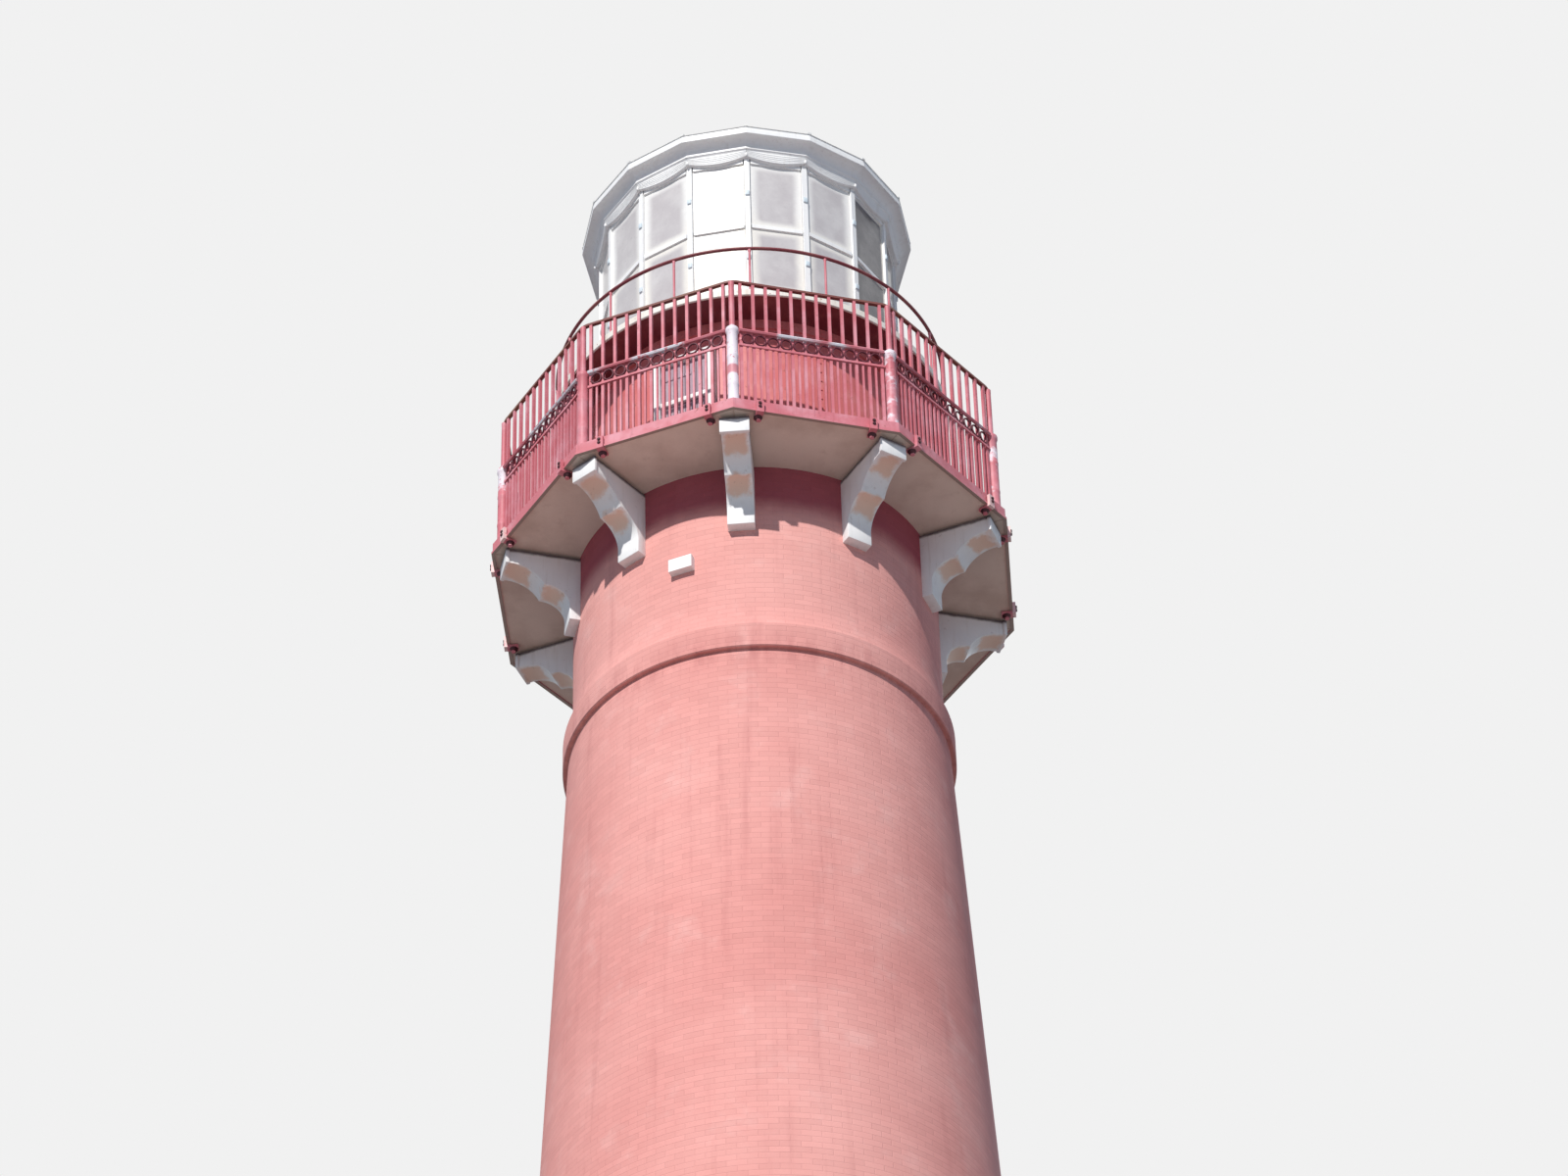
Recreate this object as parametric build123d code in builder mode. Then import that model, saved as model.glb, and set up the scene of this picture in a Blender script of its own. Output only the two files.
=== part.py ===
from build123d import *
from math import acos, atan2, cos, degrees, radians, sin, sqrt, tan
import os

# Tall round lighthouse, half of its real size, in millimetres.
# Z is up, the axis of the tower is Z and the ground is at zero.
# An azimuth is measured from -Y, the side that is looked at, and grows towards +X.

# Shaft
shaft_base_radius = 2135.0
shaft_belt_radius = 1121.0
shaft_top_radius = 1093.0
shaft_base_wall = 690.0
shaft_top_wall = 230.0
shaft_sectors = 8
flats_per_sector = 8
base_step_height = 420.0
base_step_depth = 45.0
deck_level = 22500.0

# Belt course under the gallery
belt_drop = 1443.0
belt_band_height = 170.0
belt_flare_height = 290.0
belt_depth = 58.0
flare_steps = 3

# Entrance at the ground
door_azimuth = -23.5
entrance_width = 560.0
entrance_height = 1180.0
entrance_frame_width = 60.0
entrance_frame_depth = 110.0
entrance_frame_setback = 140.0
entrance_leaf_thickness = 32.0
ground_floor_thickness = 60.0
fit_gap = 0.3

# Gallery deck and its edge
gallery_sides = 10
gallery_corner_azimuth = -3.6
deck_reach = 517.0
deck_corner_radius = shaft_top_radius + deck_reach
deck_thickness = 50.0
fascia_height = 84.0
fascia_thickness = 14.0
fascia_drop = 8.0
fascia_bead_height = 16.0
fascia_bead_depth = 7.0

# Brackets under the gallery
bracket_width = 160.0
bracket_nose_width = 176.0
bracket_nose_setback = 66.0
bracket_nose_radius = deck_corner_radius - bracket_nose_setback
bracket_nose_depth = 22.0
bracket_nose_height = 132.0
bracket_cusp_reach = 203.0
bracket_cusp_radius = shaft_top_radius + bracket_cusp_reach
bracket_cusp_drop = 258.0
bracket_cusp_flat = 14.0
bracket_foot_depth = 62.0
bracket_foot_top_drop = 420.0
bracket_foot_height = 82.0
bracket_cove_depth = 46.0
bracket_bearing_height = 10.0
bracket_bearing_width = 96.0

# Gallery fence
fence_setback = 59.0
fence_corner_radius = deck_corner_radius - fence_setback
bottom_rail_rise = 92.0
second_rail_rise = 570.0
mid_rail_rise = 686.0
top_rail_rise = 1097.0
rail_width = 22.0
rail_height = 16.0
top_rail_bend = 110.0
strap_thickness = 8.0
handrail_diameter = 24.0
bar_sides = 6
baluster_width = 18.0
picket_width = 12.0
balusters_per_side = 12
baluster_end_space = 52.0
post_sides = 8
post_lower_diameter = 70.0
post_upper_diameter = 36.0
post_foot_diameter = 82.0
post_foot_height = 18.0
post_collar_diameter = 80.0
post_collar_height = 30.0

# Clamps that hold the fence to the deck edge
clamp_offset = 158.0
clamp_width = 44.0
clamp_height = 70.0
clamp_reach = 62.0
clamp_thickness = 18.0
clamp_stud_diameter = 30.0
clamp_stud_drop = 26.0

# Watch room
watch_setback = 103.0
watch_radius = shaft_top_radius - watch_setback
watch_wall = 90.0
watch_plates = 9
flats_per_plate = 5
plate_seam = 1.0
watch_door_width = 395.0
watch_door_height = 1060.0
watch_frame_width = 42.0
watch_frame_proud = 16.0
watch_leaf_thickness = 26.0
watch_leaf_bar_rise = 560.0
watch_leaf_bar_height = 34.0

# Lantern deck and its narrow walkway
lantern_level = 23850.0
lantern_deck_overhang = 232.0
lantern_deck_radius = watch_radius + lantern_deck_overhang
walkway_sides = 32
lantern_deck_thickness = 40.0
kerb_thickness = 12.0
kerb_height = 52.0
kerb_drop = 6.0
walkway_rail_rise = 372.0
walkway_rail_diameter = 22.0
walkway_stanchion_diameter = 16.0
stanchion_setback = 2.0

# Lantern
lantern_sides = 16
lantern_corner_azimuth = 0.8
lantern_setback = 50.0
lantern_corner_radius = watch_radius - lantern_setback
lantern_post_depth = 60.0
lantern_post_width = 34.0
lantern_wall_height = 300.0
lantern_wall_thickness = 36.0
transom_level = 24695.0
transom_height = 30.0
glass_thickness = 10.0
glass_setback = 12.0
glass_top_level = 25250.0

# Lantern cornice and roof
hood_height = 90.0
hood_depth = 26.0
hood_sag = 37.0
hood_step_height = 30.0
hood_step_depth = 12.0
hood_level = 25255.0
eave_reach = 108.0
eave_corner_radius = lantern_corner_radius + eave_reach
eave_level = 25412.0
eave_fascia_height = 60.0
eave_lip = 14.0
cornice_seam = 0.8
cornice_cove = 24.0
roof_neck_radius = 130.0
roof_rise = 430.0
roof_thickness = 14.0
roof_rib_width = 22.0
roof_rib_height = 14.0
neck_seat_depth = 40.0
ball_radius = 190.0
ball_seat_radius = 100.0
ball_neck_height = 110.0
ball_bands = 8
spout_radius = 34.0
spout_height = 60.0
rod_length = 150.0
rod_diameter = 22.0
rod_tip_diameter = 6.0
rod_tip = 60.0

# Small white vent on the shaft below the gallery
vent_azimuth = -22.3
vent_drop = 705.0
vent_width = 145.0
vent_height = 100.0
vent_depth = 46.0
vent_bevel = 8.0

os.makedirs("parts", exist_ok=True)


def radial_plane(azimuth):
    """Upright plane through the axis: its x runs outwards, its y runs up."""
    a = radians(azimuth - 90.0)
    return Plane(origin=(0, 0, 0), x_dir=(cos(a), sin(a), 0), z_dir=(sin(a), -cos(a), 0))


def facing_plane(azimuth, distance, level=0.0):
    """Upright plane square to an azimuth, at a distance from the axis, facing outwards."""
    a = radians(azimuth - 90.0)
    origin = (distance * cos(a), distance * sin(a), level)
    return Plane(origin=origin, x_dir=(-sin(a), cos(a), 0), z_dir=(cos(a), sin(a), 0))


def turned(azimuth):
    """Turn about the axis that brings a piece drawn at azimuth zero to its own azimuth."""
    return Rotation(0, 0, azimuth)


def finish(builder, name):
    """Name a finished piece and write it."""
    builder.part.label = name
    export_step(builder.part, "parts/" + name + ".step")


def inner_shaft_radius(level):
    """Radius of the round hollow in the shaft at a level."""
    low = shaft_base_radius - shaft_base_wall
    high = shaft_top_radius - shaft_top_wall
    return low + (high - low) * level / deck_level


def outer_shaft_radius(level):
    """Radius of the tapered shaft at a level below the belt course."""
    low = shaft_base_radius
    return low + (shaft_belt_radius - low) * level / (deck_level - belt_drop)


def side_wedge(half_angle, reach, low, height):
    """Upright wedge about azimuth zero that trims a piece to its mitres."""
    side = reach * tan(half_angle)
    with BuildSketch(Plane.XY.offset(low)) as wedge:
        with BuildLine():
            Polyline((0, 0), (side, -reach), (-side, -reach), close=True)
        make_face()
    extrude(wedge.sketch, amount=height, mode=Mode.INTERSECT)


# Shaft walls, in upright sectors of flat staves that stay within 3 mm of the round
sector_angle = 360.0 / shaft_sectors
flat_angle = sector_angle / flats_per_sector
flat_half = radians(flat_angle / 2)
front_start = door_azimuth - sector_angle / 2
belt_foot = deck_level - belt_drop
band_top = belt_foot + belt_band_height
belt_radius = shaft_top_radius + belt_depth
step_radius = outer_shaft_radius(base_step_height)
wall_outline = [
    (inner_shaft_radius(0), 0),
    (shaft_base_radius + base_step_depth, 0),
    (step_radius + base_step_depth, base_step_height - base_step_depth),
    (step_radius, base_step_height),
    (shaft_belt_radius, belt_foot),
    (belt_radius, belt_foot),
    (belt_radius, band_top),
]
for step in range(1, flare_steps + 1):
    flare = radians(90.0 * step / flare_steps)
    flare_level = band_top + belt_flare_height * (1 - cos(flare))
    wall_outline.append((belt_radius - belt_depth * sin(flare), flare_level))
wall_outline.append((shaft_top_radius, deck_level))
wall_outline.append((inner_shaft_radius(deck_level), deck_level))
with BuildPart() as shaft_stave:
    with BuildSketch(radial_plane(0)):
        with BuildLine():
            Polyline(*[(radius * cos(flat_half), level) for radius, level in wall_outline], close=True)
        make_face()
    extrude(amount=shaft_base_radius, both=True)
    side_wedge(flat_half, 2 * shaft_base_radius, 0, deck_level)

with BuildPart() as shaft_sector:
    for index in range(flats_per_sector):
        with Locations(turned(front_start + flat_angle * (index + 0.5))):
            add(shaft_stave.part)

for index in range(1, shaft_sectors):
    with BuildPart() as shaft_wall:
        with Locations(turned(sector_angle * index)):
            add(shaft_sector.part)
    finish(shaft_wall, "shaft_wall_%d" % index)

sector_reach = 2 * shaft_base_radius
front_plane = facing_plane(door_azimuth, 0)
with BuildPart() as shaft_wall_beside:
    add(shaft_sector.part)
    with BuildSketch(front_plane):
        with Locations((0, entrance_height / 2)):
            Rectangle(2 * sector_reach, entrance_height)
    extrude(amount=sector_reach, mode=Mode.INTERSECT)
    with BuildSketch(front_plane):
        with Locations((0, entrance_height / 2)):
            Rectangle(entrance_width, 2 * entrance_height)
    extrude(amount=sector_reach, mode=Mode.SUBTRACT)
finish(shaft_wall_beside, "shaft_wall_beside_door")

with BuildPart() as shaft_wall_over:
    add(shaft_sector.part)
    with BuildSketch(front_plane):
        with Locations((0, entrance_height / 2)):
            Rectangle(2 * sector_reach, entrance_height)
    extrude(amount=sector_reach, mode=Mode.SUBTRACT)
finish(shaft_wall_over, "shaft_wall_over_door")

# Entrance frame and leaf, set back in the thickness of the wall
frame_face = outer_shaft_radius(entrance_height) - entrance_frame_setback
frame_outer_width = entrance_width - 2 * fit_gap
frame_outer_height = entrance_height - fit_gap
leaf_width = frame_outer_width - 2 * entrance_frame_width - 2 * fit_gap
leaf_height = frame_outer_height - entrance_frame_width - 2 * fit_gap
with BuildPart() as entrance_frame:
    with BuildSketch(facing_plane(door_azimuth, frame_face)):
        with Locations((0, frame_outer_height / 2)):
            Rectangle(frame_outer_width, frame_outer_height)
        with Locations((0, (frame_outer_height - entrance_frame_width) / 2)):
            Rectangle(
                frame_outer_width - 2 * entrance_frame_width,
                frame_outer_height - entrance_frame_width,
                mode=Mode.SUBTRACT,
            )
    extrude(amount=-entrance_frame_depth)
finish(entrance_frame, "entrance_frame")

with BuildPart() as entrance_door:
    with BuildSketch(facing_plane(door_azimuth, frame_face - entrance_frame_depth / 2)):
        with Locations((0, fit_gap + leaf_height / 2)):
            Rectangle(leaf_width, leaf_height)
    extrude(amount=-entrance_leaf_thickness)
finish(entrance_door, "entrance_door")

floor_radius = inner_shaft_radius(ground_floor_thickness) - fit_gap
with BuildPart() as ground_floor:
    with BuildSketch():
        RegularPolygon(floor_radius, shaft_sectors * flats_per_sector, rotation=front_start - 90.0)
    extrude(amount=ground_floor_thickness)
finish(ground_floor, "ground_floor")

# Gallery deck, a plate with ten sides that also floors the watch room
gallery_angle = 360.0 / gallery_sides
gallery_half = radians(gallery_angle / 2)
deck_inradius = deck_corner_radius * cos(gallery_half)
deck_plate_radius = (deck_inradius - fascia_thickness) / cos(gallery_half)
corner_turn = gallery_corner_azimuth - 90.0
with BuildPart() as gallery_deck:
    with BuildSketch(Plane.XY.offset(deck_level)):
        RegularPolygon(deck_plate_radius, gallery_sides, rotation=corner_turn)
    extrude(amount=deck_thickness)
finish(gallery_deck, "gallery_deck")

fascia_bead_radius = (deck_inradius + fascia_bead_depth) / cos(gallery_half)
with BuildPart() as gallery_fascia:
    with BuildSketch(Plane.XY.offset(deck_level - fascia_drop)):
        RegularPolygon(deck_corner_radius, gallery_sides, rotation=corner_turn)
        RegularPolygon(deck_plate_radius, gallery_sides, rotation=corner_turn, mode=Mode.SUBTRACT)
    extrude(amount=fascia_height)
    with BuildSketch(Plane.XY.offset(deck_level - fascia_drop)):
        RegularPolygon(fascia_bead_radius, gallery_sides, rotation=corner_turn)
        RegularPolygon(deck_plate_radius, gallery_sides, rotation=corner_turn, mode=Mode.SUBTRACT)
    extrude(amount=fascia_bead_height)
finish(gallery_fascia, "gallery_fascia")


def bracket_section():
    """Side outline of a bracket: two coves that meet at a cusp, a nose and a foot."""
    wall = shaft_top_radius
    foot = wall + bracket_foot_depth
    nose = bracket_nose_radius
    top = deck_level - bracket_bearing_height
    nose_low = (nose, deck_level - bracket_nose_height)
    cusp_out = (bracket_cusp_radius + bracket_cusp_flat, deck_level - bracket_cusp_drop)
    cusp_in = (bracket_cusp_radius, deck_level - bracket_cusp_drop)
    foot_top = (foot, deck_level - bracket_foot_top_drop)
    foot_low = (foot, deck_level - bracket_foot_top_drop - bracket_foot_height)
    with BuildSketch(radial_plane(0)) as section:
        with BuildLine():
            Polyline((wall, top), (nose, top), nose_low)
            SagittaArc(nose_low, cusp_out, bracket_cove_depth)
            Line(cusp_out, cusp_in)
            SagittaArc(cusp_in, foot_top, bracket_cove_depth)
            Polyline(foot_top, foot_low, (wall, foot_low[1]), (wall, top))
        make_face()
    return section.sketch


# Ten scrolled brackets, one under each corner, that carry the deck on a narrower bearing rib
shaft_seat = shaft_top_radius + fit_gap
nose_low = deck_level - bracket_nose_height
nose_high = deck_level - bracket_bearing_height
bearing_length = bracket_nose_radius - bracket_nose_depth - shaft_top_radius
with BuildPart() as bracket_pattern:
    extrude(bracket_section(), amount=bracket_width / 2, both=True)
    with BuildSketch(facing_plane(0, bracket_nose_radius)):
        with Locations((0, (nose_low + nose_high) / 2)):
            Rectangle(bracket_nose_width, nose_high - nose_low)
    extrude(amount=-bracket_nose_depth)
    with BuildSketch(radial_plane(0)):
        with Locations((shaft_top_radius + bearing_length / 2, (nose_high + deck_level) / 2)):
            Rectangle(bearing_length, bracket_bearing_height)
    extrude(amount=bracket_bearing_width / 2, both=True)
    with BuildSketch(Plane.XY.offset(deck_level)):
        Circle(shaft_seat)
    extrude(amount=-2 * bracket_foot_top_drop, mode=Mode.SUBTRACT)

with BuildPart() as gallery_brackets:
    for index in range(gallery_sides):
        with Locations(turned(gallery_corner_azimuth + gallery_angle * index)):
            add(bracket_pattern.part)
finish(gallery_brackets, "gallery_brackets")

# Fence panels: bars that stand on a bottom rail, with a strap and a handrail outside them
deck_top = deck_level + deck_thickness
fence_inradius = fence_corner_radius * cos(gallery_half)
fence_half_side = fence_corner_radius * sin(gallery_half)
lower_length = 2 * (fence_half_side - post_lower_diameter / 2 - fit_gap)
handrail_length = 2 * (fence_half_side - post_collar_diameter / 2 - fit_gap)
bottom_rail_low = deck_level + bottom_rail_rise
strap_low = deck_level + second_rail_rise - rail_height
handrail_centre = deck_level + mid_rail_rise - handrail_diameter / 2
top_rail_low = deck_level + top_rail_rise - rail_height
bar_low = bottom_rail_low + rail_height + fit_gap
baluster_height = top_rail_low - fit_gap - bar_low
picket_height = strap_low + rail_height - bar_low
baluster_pitch = 2 * (fence_half_side - baluster_end_space) / (balusters_per_side - 1)
baluster_places = [
    baluster_pitch * (k - (balusters_per_side - 1) / 2) for k in range(balusters_per_side)
]
picket_places = [x + baluster_pitch / 2 for x in baluster_places[:-1]]
bar_face = fence_inradius + baluster_width / 2
strap_face = bar_face + fit_gap
with BuildPart() as panel_pattern:
    with BuildSketch(facing_plane(0, fence_inradius)):
        with Locations((0, bottom_rail_low)):
            Rectangle(lower_length, rail_height, align=(Align.CENTER, Align.MIN))
    extrude(amount=rail_width / 2, both=True)
    with BuildSketch(facing_plane(0, bar_face)):
        with Locations(*[(x, bar_low) for x in baluster_places]):
            Rectangle(baluster_width, baluster_height, align=(Align.CENTER, Align.MIN))
    extrude(amount=-baluster_width)
    with BuildSketch(facing_plane(0, bar_face)):
        with Locations(*[(x, bar_low) for x in picket_places]):
            Rectangle(picket_width, picket_height, align=(Align.CENTER, Align.MIN))
    extrude(amount=-picket_width)
    with BuildSketch(facing_plane(0, strap_face)):
        with Locations((0, strap_low)):
            Rectangle(lower_length, rail_height, align=(Align.CENTER, Align.MIN))
    extrude(amount=strap_thickness)
    with BuildSketch(radial_plane(0)) as handrail_section:
        with Locations((strap_face + handrail_diameter / 2, handrail_centre)):
            RegularPolygon(handrail_diameter / 2, bar_sides)
    extrude(handrail_section.sketch, amount=handrail_length / 2, both=True)

for index in range(gallery_sides):
    with BuildPart() as fence_panel:
        with Locations(turned(gallery_corner_azimuth + gallery_angle * (index + 0.5))):
            add(panel_pattern.part)
    finish(fence_panel, "fence_panel_%02d" % (index + 1))

# Top rail, one band with rounded bends that runs over all bars and posts
rail_out = (fence_inradius + rail_width / 2) / cos(gallery_half)
rail_in = (fence_inradius - rail_width / 2) / cos(gallery_half)
with BuildPart() as fence_top_rail:
    with BuildSketch(Plane.XY.offset(top_rail_low)):
        with BuildSketch(mode=Mode.PRIVATE) as rail_edge:
            RegularPolygon(rail_in, gallery_sides, rotation=corner_turn)
            fillet(rail_edge.vertices(), radius=top_rail_bend)
        with BuildSketch(mode=Mode.PRIVATE) as rail_rim:
            RegularPolygon(rail_out, gallery_sides, rotation=corner_turn)
            fillet(rail_rim.vertices(), radius=top_rail_bend + rail_width)
        add(rail_rim.sketch)
        add(rail_edge.sketch, mode=Mode.SUBTRACT)
    extrude(amount=rail_height)
finish(fence_top_rail, "fence_top_rail")

# Corner posts, thick up to the handrail, with a collar there, and thin above it
collar_low = handrail_centre - post_collar_height / 2
post_stages = [
    (deck_top, post_foot_height, post_foot_diameter),
    (deck_top, collar_low - deck_top, post_lower_diameter),
    (collar_low, post_collar_height, post_collar_diameter),
    (collar_low, top_rail_low - fit_gap - collar_low, post_upper_diameter),
]
with BuildPart() as post_pattern:
    for low, height, diameter in post_stages:
        with BuildSketch(Plane.XY.offset(low)):
            with Locations((0, -fence_corner_radius)):
                RegularPolygon(diameter / 2, post_sides)
        extrude(amount=height)

with BuildPart() as fence_posts:
    for index in range(gallery_sides):
        with Locations(turned(gallery_corner_azimuth + gallery_angle * index)):
            add(post_pattern.part)
finish(fence_posts, "fence_posts")

# Clamps that grip the deck edge from outside and below, two beside each corner
clamp_low = deck_level - fascia_drop
clamp_face = deck_inradius + fascia_bead_depth
clamp_back = deck_inradius - clamp_reach
clamp_shift = deck_corner_radius * sin(gallery_half) - clamp_offset
with BuildPart() as clamp_pattern:
    for shift in (-clamp_shift, clamp_shift):
        with BuildSketch(radial_plane(0).offset(shift)):
            with BuildLine():
                Polyline(
                    (clamp_face, clamp_low),
                    (clamp_face, clamp_low + clamp_height),
                    (clamp_face + clamp_thickness, clamp_low + clamp_height),
                    (clamp_face + clamp_thickness, clamp_low - clamp_thickness),
                    (clamp_back, clamp_low - clamp_thickness),
                    (clamp_back, clamp_low),
                    close=True,
                )
            make_face()
        extrude(amount=clamp_width / 2, both=True)
    stud_distance = deck_inradius - clamp_reach / 2
    with BuildSketch(Plane.XY.offset(clamp_low - clamp_thickness)):
        with Locations((-clamp_shift, -stud_distance), (clamp_shift, -stud_distance)):
            RegularPolygon(clamp_stud_diameter / 2, bar_sides)
    extrude(amount=-clamp_stud_drop)

with BuildPart() as edge_clamps:
    for index in range(gallery_sides):
        with Locations(turned(gallery_corner_azimuth + gallery_angle * (index + 0.5))):
            add(clamp_pattern.part)
finish(edge_clamps, "edge_clamps")


def plate_section(level, start, span, flats):
    """Level section of a stretch of the watch room wall, drawn with short flats."""
    places = [radians(start + span * k / flats) for k in range(flats + 1)]
    outside = [(watch_radius * sin(a), -watch_radius * cos(a)) for a in places]
    inside = [(watch_inner * sin(a), -watch_inner * cos(a)) for a in reversed(places)]
    with BuildSketch(Plane.XY.offset(level)) as section:
        with BuildLine():
            Polyline(*outside, *inside, close=True)
        make_face()
    return section.sketch


# Watch room wall, of round plates with open seams, and the lintel over its doorway
watch_inner = watch_radius - watch_wall
lantern_deck_low = lantern_level - lantern_deck_thickness
watch_height = lantern_deck_low - deck_top
door_half_angle = degrees(atan2(watch_door_width / 2, watch_inner))
plate_angle = (360.0 - 2 * door_half_angle) / watch_plates
seam_angle = degrees(plate_seam / watch_radius)
with BuildPart() as watch_room_wall:
    for index in range(watch_plates):
        plate_start = door_azimuth + door_half_angle + plate_angle * index + seam_angle / 2
        plate = plate_section(deck_top, plate_start, plate_angle - seam_angle, flats_per_plate)
        extrude(plate, amount=watch_height)
finish(watch_room_wall, "watch_room_wall")

lintel_low = deck_top + watch_door_height
lintel_start = door_azimuth - door_half_angle + seam_angle / 2
lintel_span = 2 * door_half_angle - seam_angle
with BuildPart() as watch_room_lintel:
    lintel = plate_section(lintel_low, lintel_start, lintel_span, flats_per_plate)
    extrude(lintel, amount=lantern_deck_low - lintel_low)
finish(watch_room_lintel, "watch_room_lintel")

# Gallery door: a frame that stands proud of the round wall, a leaf and its cross bar
watch_opening_half = watch_door_width / 2 - fit_gap
watch_frame_face = watch_radius + watch_frame_proud
watch_frame_depth = watch_frame_proud + watch_wall / 2
with BuildPart() as gallery_door_frame:
    with BuildSketch(facing_plane(door_azimuth, watch_frame_face, deck_top)):
        with Locations((0, (watch_door_height - fit_gap) / 2)):
            Rectangle(2 * watch_opening_half, watch_door_height - fit_gap)
        with Locations((0, (watch_door_height - fit_gap - watch_frame_width) / 2)):
            Rectangle(
                2 * (watch_opening_half - watch_frame_width),
                watch_door_height - fit_gap - watch_frame_width,
                mode=Mode.SUBTRACT,
            )
    extrude(amount=-watch_frame_depth)
finish(gallery_door_frame, "gallery_door_frame")

watch_leaf_half = watch_opening_half - watch_frame_width - fit_gap
watch_leaf_height = watch_door_height - watch_frame_width - 3 * fit_gap
watch_leaf_face = watch_frame_face - watch_frame_depth / 2
with BuildPart() as gallery_door:
    with BuildSketch(facing_plane(door_azimuth, watch_leaf_face, deck_top + fit_gap)):
        with Locations((0, watch_leaf_height / 2)):
            Rectangle(2 * watch_leaf_half, watch_leaf_height)
    extrude(amount=-watch_leaf_thickness)
    with BuildSketch(facing_plane(door_azimuth, watch_leaf_face, deck_top)):
        with Locations((0, watch_leaf_bar_rise)):
            Rectangle(2 * watch_leaf_half, watch_leaf_bar_height)
    extrude(amount=watch_frame_proud)
finish(gallery_door, "gallery_door")

# Lantern deck, its kerb and the rail of its narrow walkway, round to within 6 mm
walkway_turn = lantern_corner_azimuth - 90.0
deck_edge_radius = lantern_deck_radius - kerb_thickness
with BuildPart() as lantern_deck:
    with BuildSketch(Plane.XY.offset(lantern_deck_low)):
        RegularPolygon(deck_edge_radius, walkway_sides, rotation=walkway_turn)
    extrude(amount=lantern_deck_thickness)
finish(lantern_deck, "lantern_deck")

kerb_low = lantern_deck_low - kerb_drop
with BuildPart() as lantern_kerb:
    with BuildSketch(Plane.XY.offset(kerb_low)):
        RegularPolygon(lantern_deck_radius, walkway_sides, rotation=walkway_turn)
        RegularPolygon(deck_edge_radius, walkway_sides, rotation=walkway_turn, mode=Mode.SUBTRACT)
    extrude(amount=kerb_height)
finish(lantern_kerb, "lantern_kerb")

lantern_angle = 360.0 / lantern_sides
lantern_half = radians(lantern_angle / 2)
stanchion_radius = deck_edge_radius - stanchion_setback - walkway_stanchion_diameter / 2
rail_level = lantern_level + walkway_rail_rise
rail_corners = [
    (
        stanchion_radius * sin(radians(lantern_corner_azimuth + 360.0 * k / walkway_sides)),
        -stanchion_radius * cos(radians(lantern_corner_azimuth + 360.0 * k / walkway_sides)),
        rail_level,
    )
    for k in range(walkway_sides)
]
with BuildPart() as walkway_rail:
    with BuildLine() as rail_path:
        Polyline(*rail_corners, close=True)
    with BuildSketch(radial_plane(lantern_corner_azimuth)) as rail_section:
        with Locations((stanchion_radius, rail_level)):
            RegularPolygon(walkway_rail_diameter / 2, bar_sides, major_radius=False)
    sweep(rail_section.sketch, path=rail_path.wires()[0], transition=Transition.RIGHT)
finish(walkway_rail, "walkway_rail")

stanchion_height = walkway_rail_rise - walkway_rail_diameter / 2 - fit_gap
with BuildPart() as walkway_stanchions:
    with BuildSketch(Plane.XY.offset(lantern_level)):
        with PolarLocations(stanchion_radius, lantern_sides, start_angle=walkway_turn):
            RegularPolygon(walkway_stanchion_diameter / 2, bar_sides)
    extrude(amount=stanchion_height)
finish(walkway_stanchions, "walkway_stanchions")

# Lantern posts on the sixteen corners, with panels and panes between them
hood_top = hood_level + hood_height
post_top = hood_level - fit_gap
head_top = hood_top - fit_gap
lantern_inradius = lantern_corner_radius * cos(lantern_half)
with BuildPart() as lantern_posts:
    for index in range(lantern_sides):
        azimuth = lantern_corner_azimuth + lantern_angle * index
        with BuildSketch(facing_plane(azimuth, lantern_corner_radius)):
            with Locations((0, (lantern_level + post_top) / 2)):
                Rectangle(lantern_post_width, post_top - lantern_level)
        extrude(amount=-lantern_post_depth)
finish(lantern_posts, "lantern_posts")


def between_posts(low, high, setback, thickness):
    """Sixteen flat panels between the lantern posts, at a depth behind the side planes."""
    face = lantern_inradius - setback
    back = face - thickness
    half = back * tan(lantern_half) - (lantern_post_width / 2 + fit_gap) / cos(lantern_half)
    for index in range(lantern_sides):
        azimuth = lantern_corner_azimuth + lantern_angle * (index + 0.5)
        with BuildSketch(facing_plane(azimuth, face)) as section:
            with Locations((0, (low + high) / 2)):
                Rectangle(2 * half, high - low)
        extrude(section.sketch, amount=-thickness)


wall_top = lantern_level + lantern_wall_height
with BuildPart() as lantern_wall:
    between_posts(lantern_level, wall_top, 0, lantern_wall_thickness)
finish(lantern_wall, "lantern_wall")

transom_low = transom_level - transom_height / 2
transom_high = transom_level + transom_height / 2
with BuildPart() as lantern_rails:
    between_posts(transom_low, transom_high, 0, lantern_wall_thickness)
    between_posts(glass_top_level, head_top, 0, lantern_wall_thickness)
finish(lantern_rails, "lantern_rails")

with BuildPart() as lower_panes:
    between_posts(wall_top, transom_low, glass_setback, glass_thickness)
finish(lower_panes, "lower_panes")

with BuildPart() as upper_panes:
    between_posts(transom_high, glass_top_level, glass_setback, glass_thickness)
finish(upper_panes, "upper_panes")

# Hood mouldings, one over each side, with a sagging lower edge and a raised band at the top
hood_back = lantern_inradius + fit_gap
hood_face = hood_back + hood_depth
hood_half = hood_back * tan(lantern_half) - cornice_seam
with BuildPart() as hood_pattern:
    with BuildSketch(facing_plane(0, hood_back, hood_level)) as hood_front:
        with BuildLine():
            Polyline(
                (-hood_half, hood_sag),
                (-hood_half, hood_height),
                (hood_half, hood_height),
                (hood_half, hood_sag),
            )
            ThreePointArc((hood_half, hood_sag), (0, 0), (-hood_half, hood_sag))
        make_face()
    extrude(hood_front.sketch, amount=hood_depth)
    with BuildSketch(facing_plane(0, hood_face, hood_level + hood_height)):
        Rectangle(2 * hood_half, hood_step_height, align=(Align.CENTER, Align.MAX))
    extrude(amount=hood_step_depth)

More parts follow.
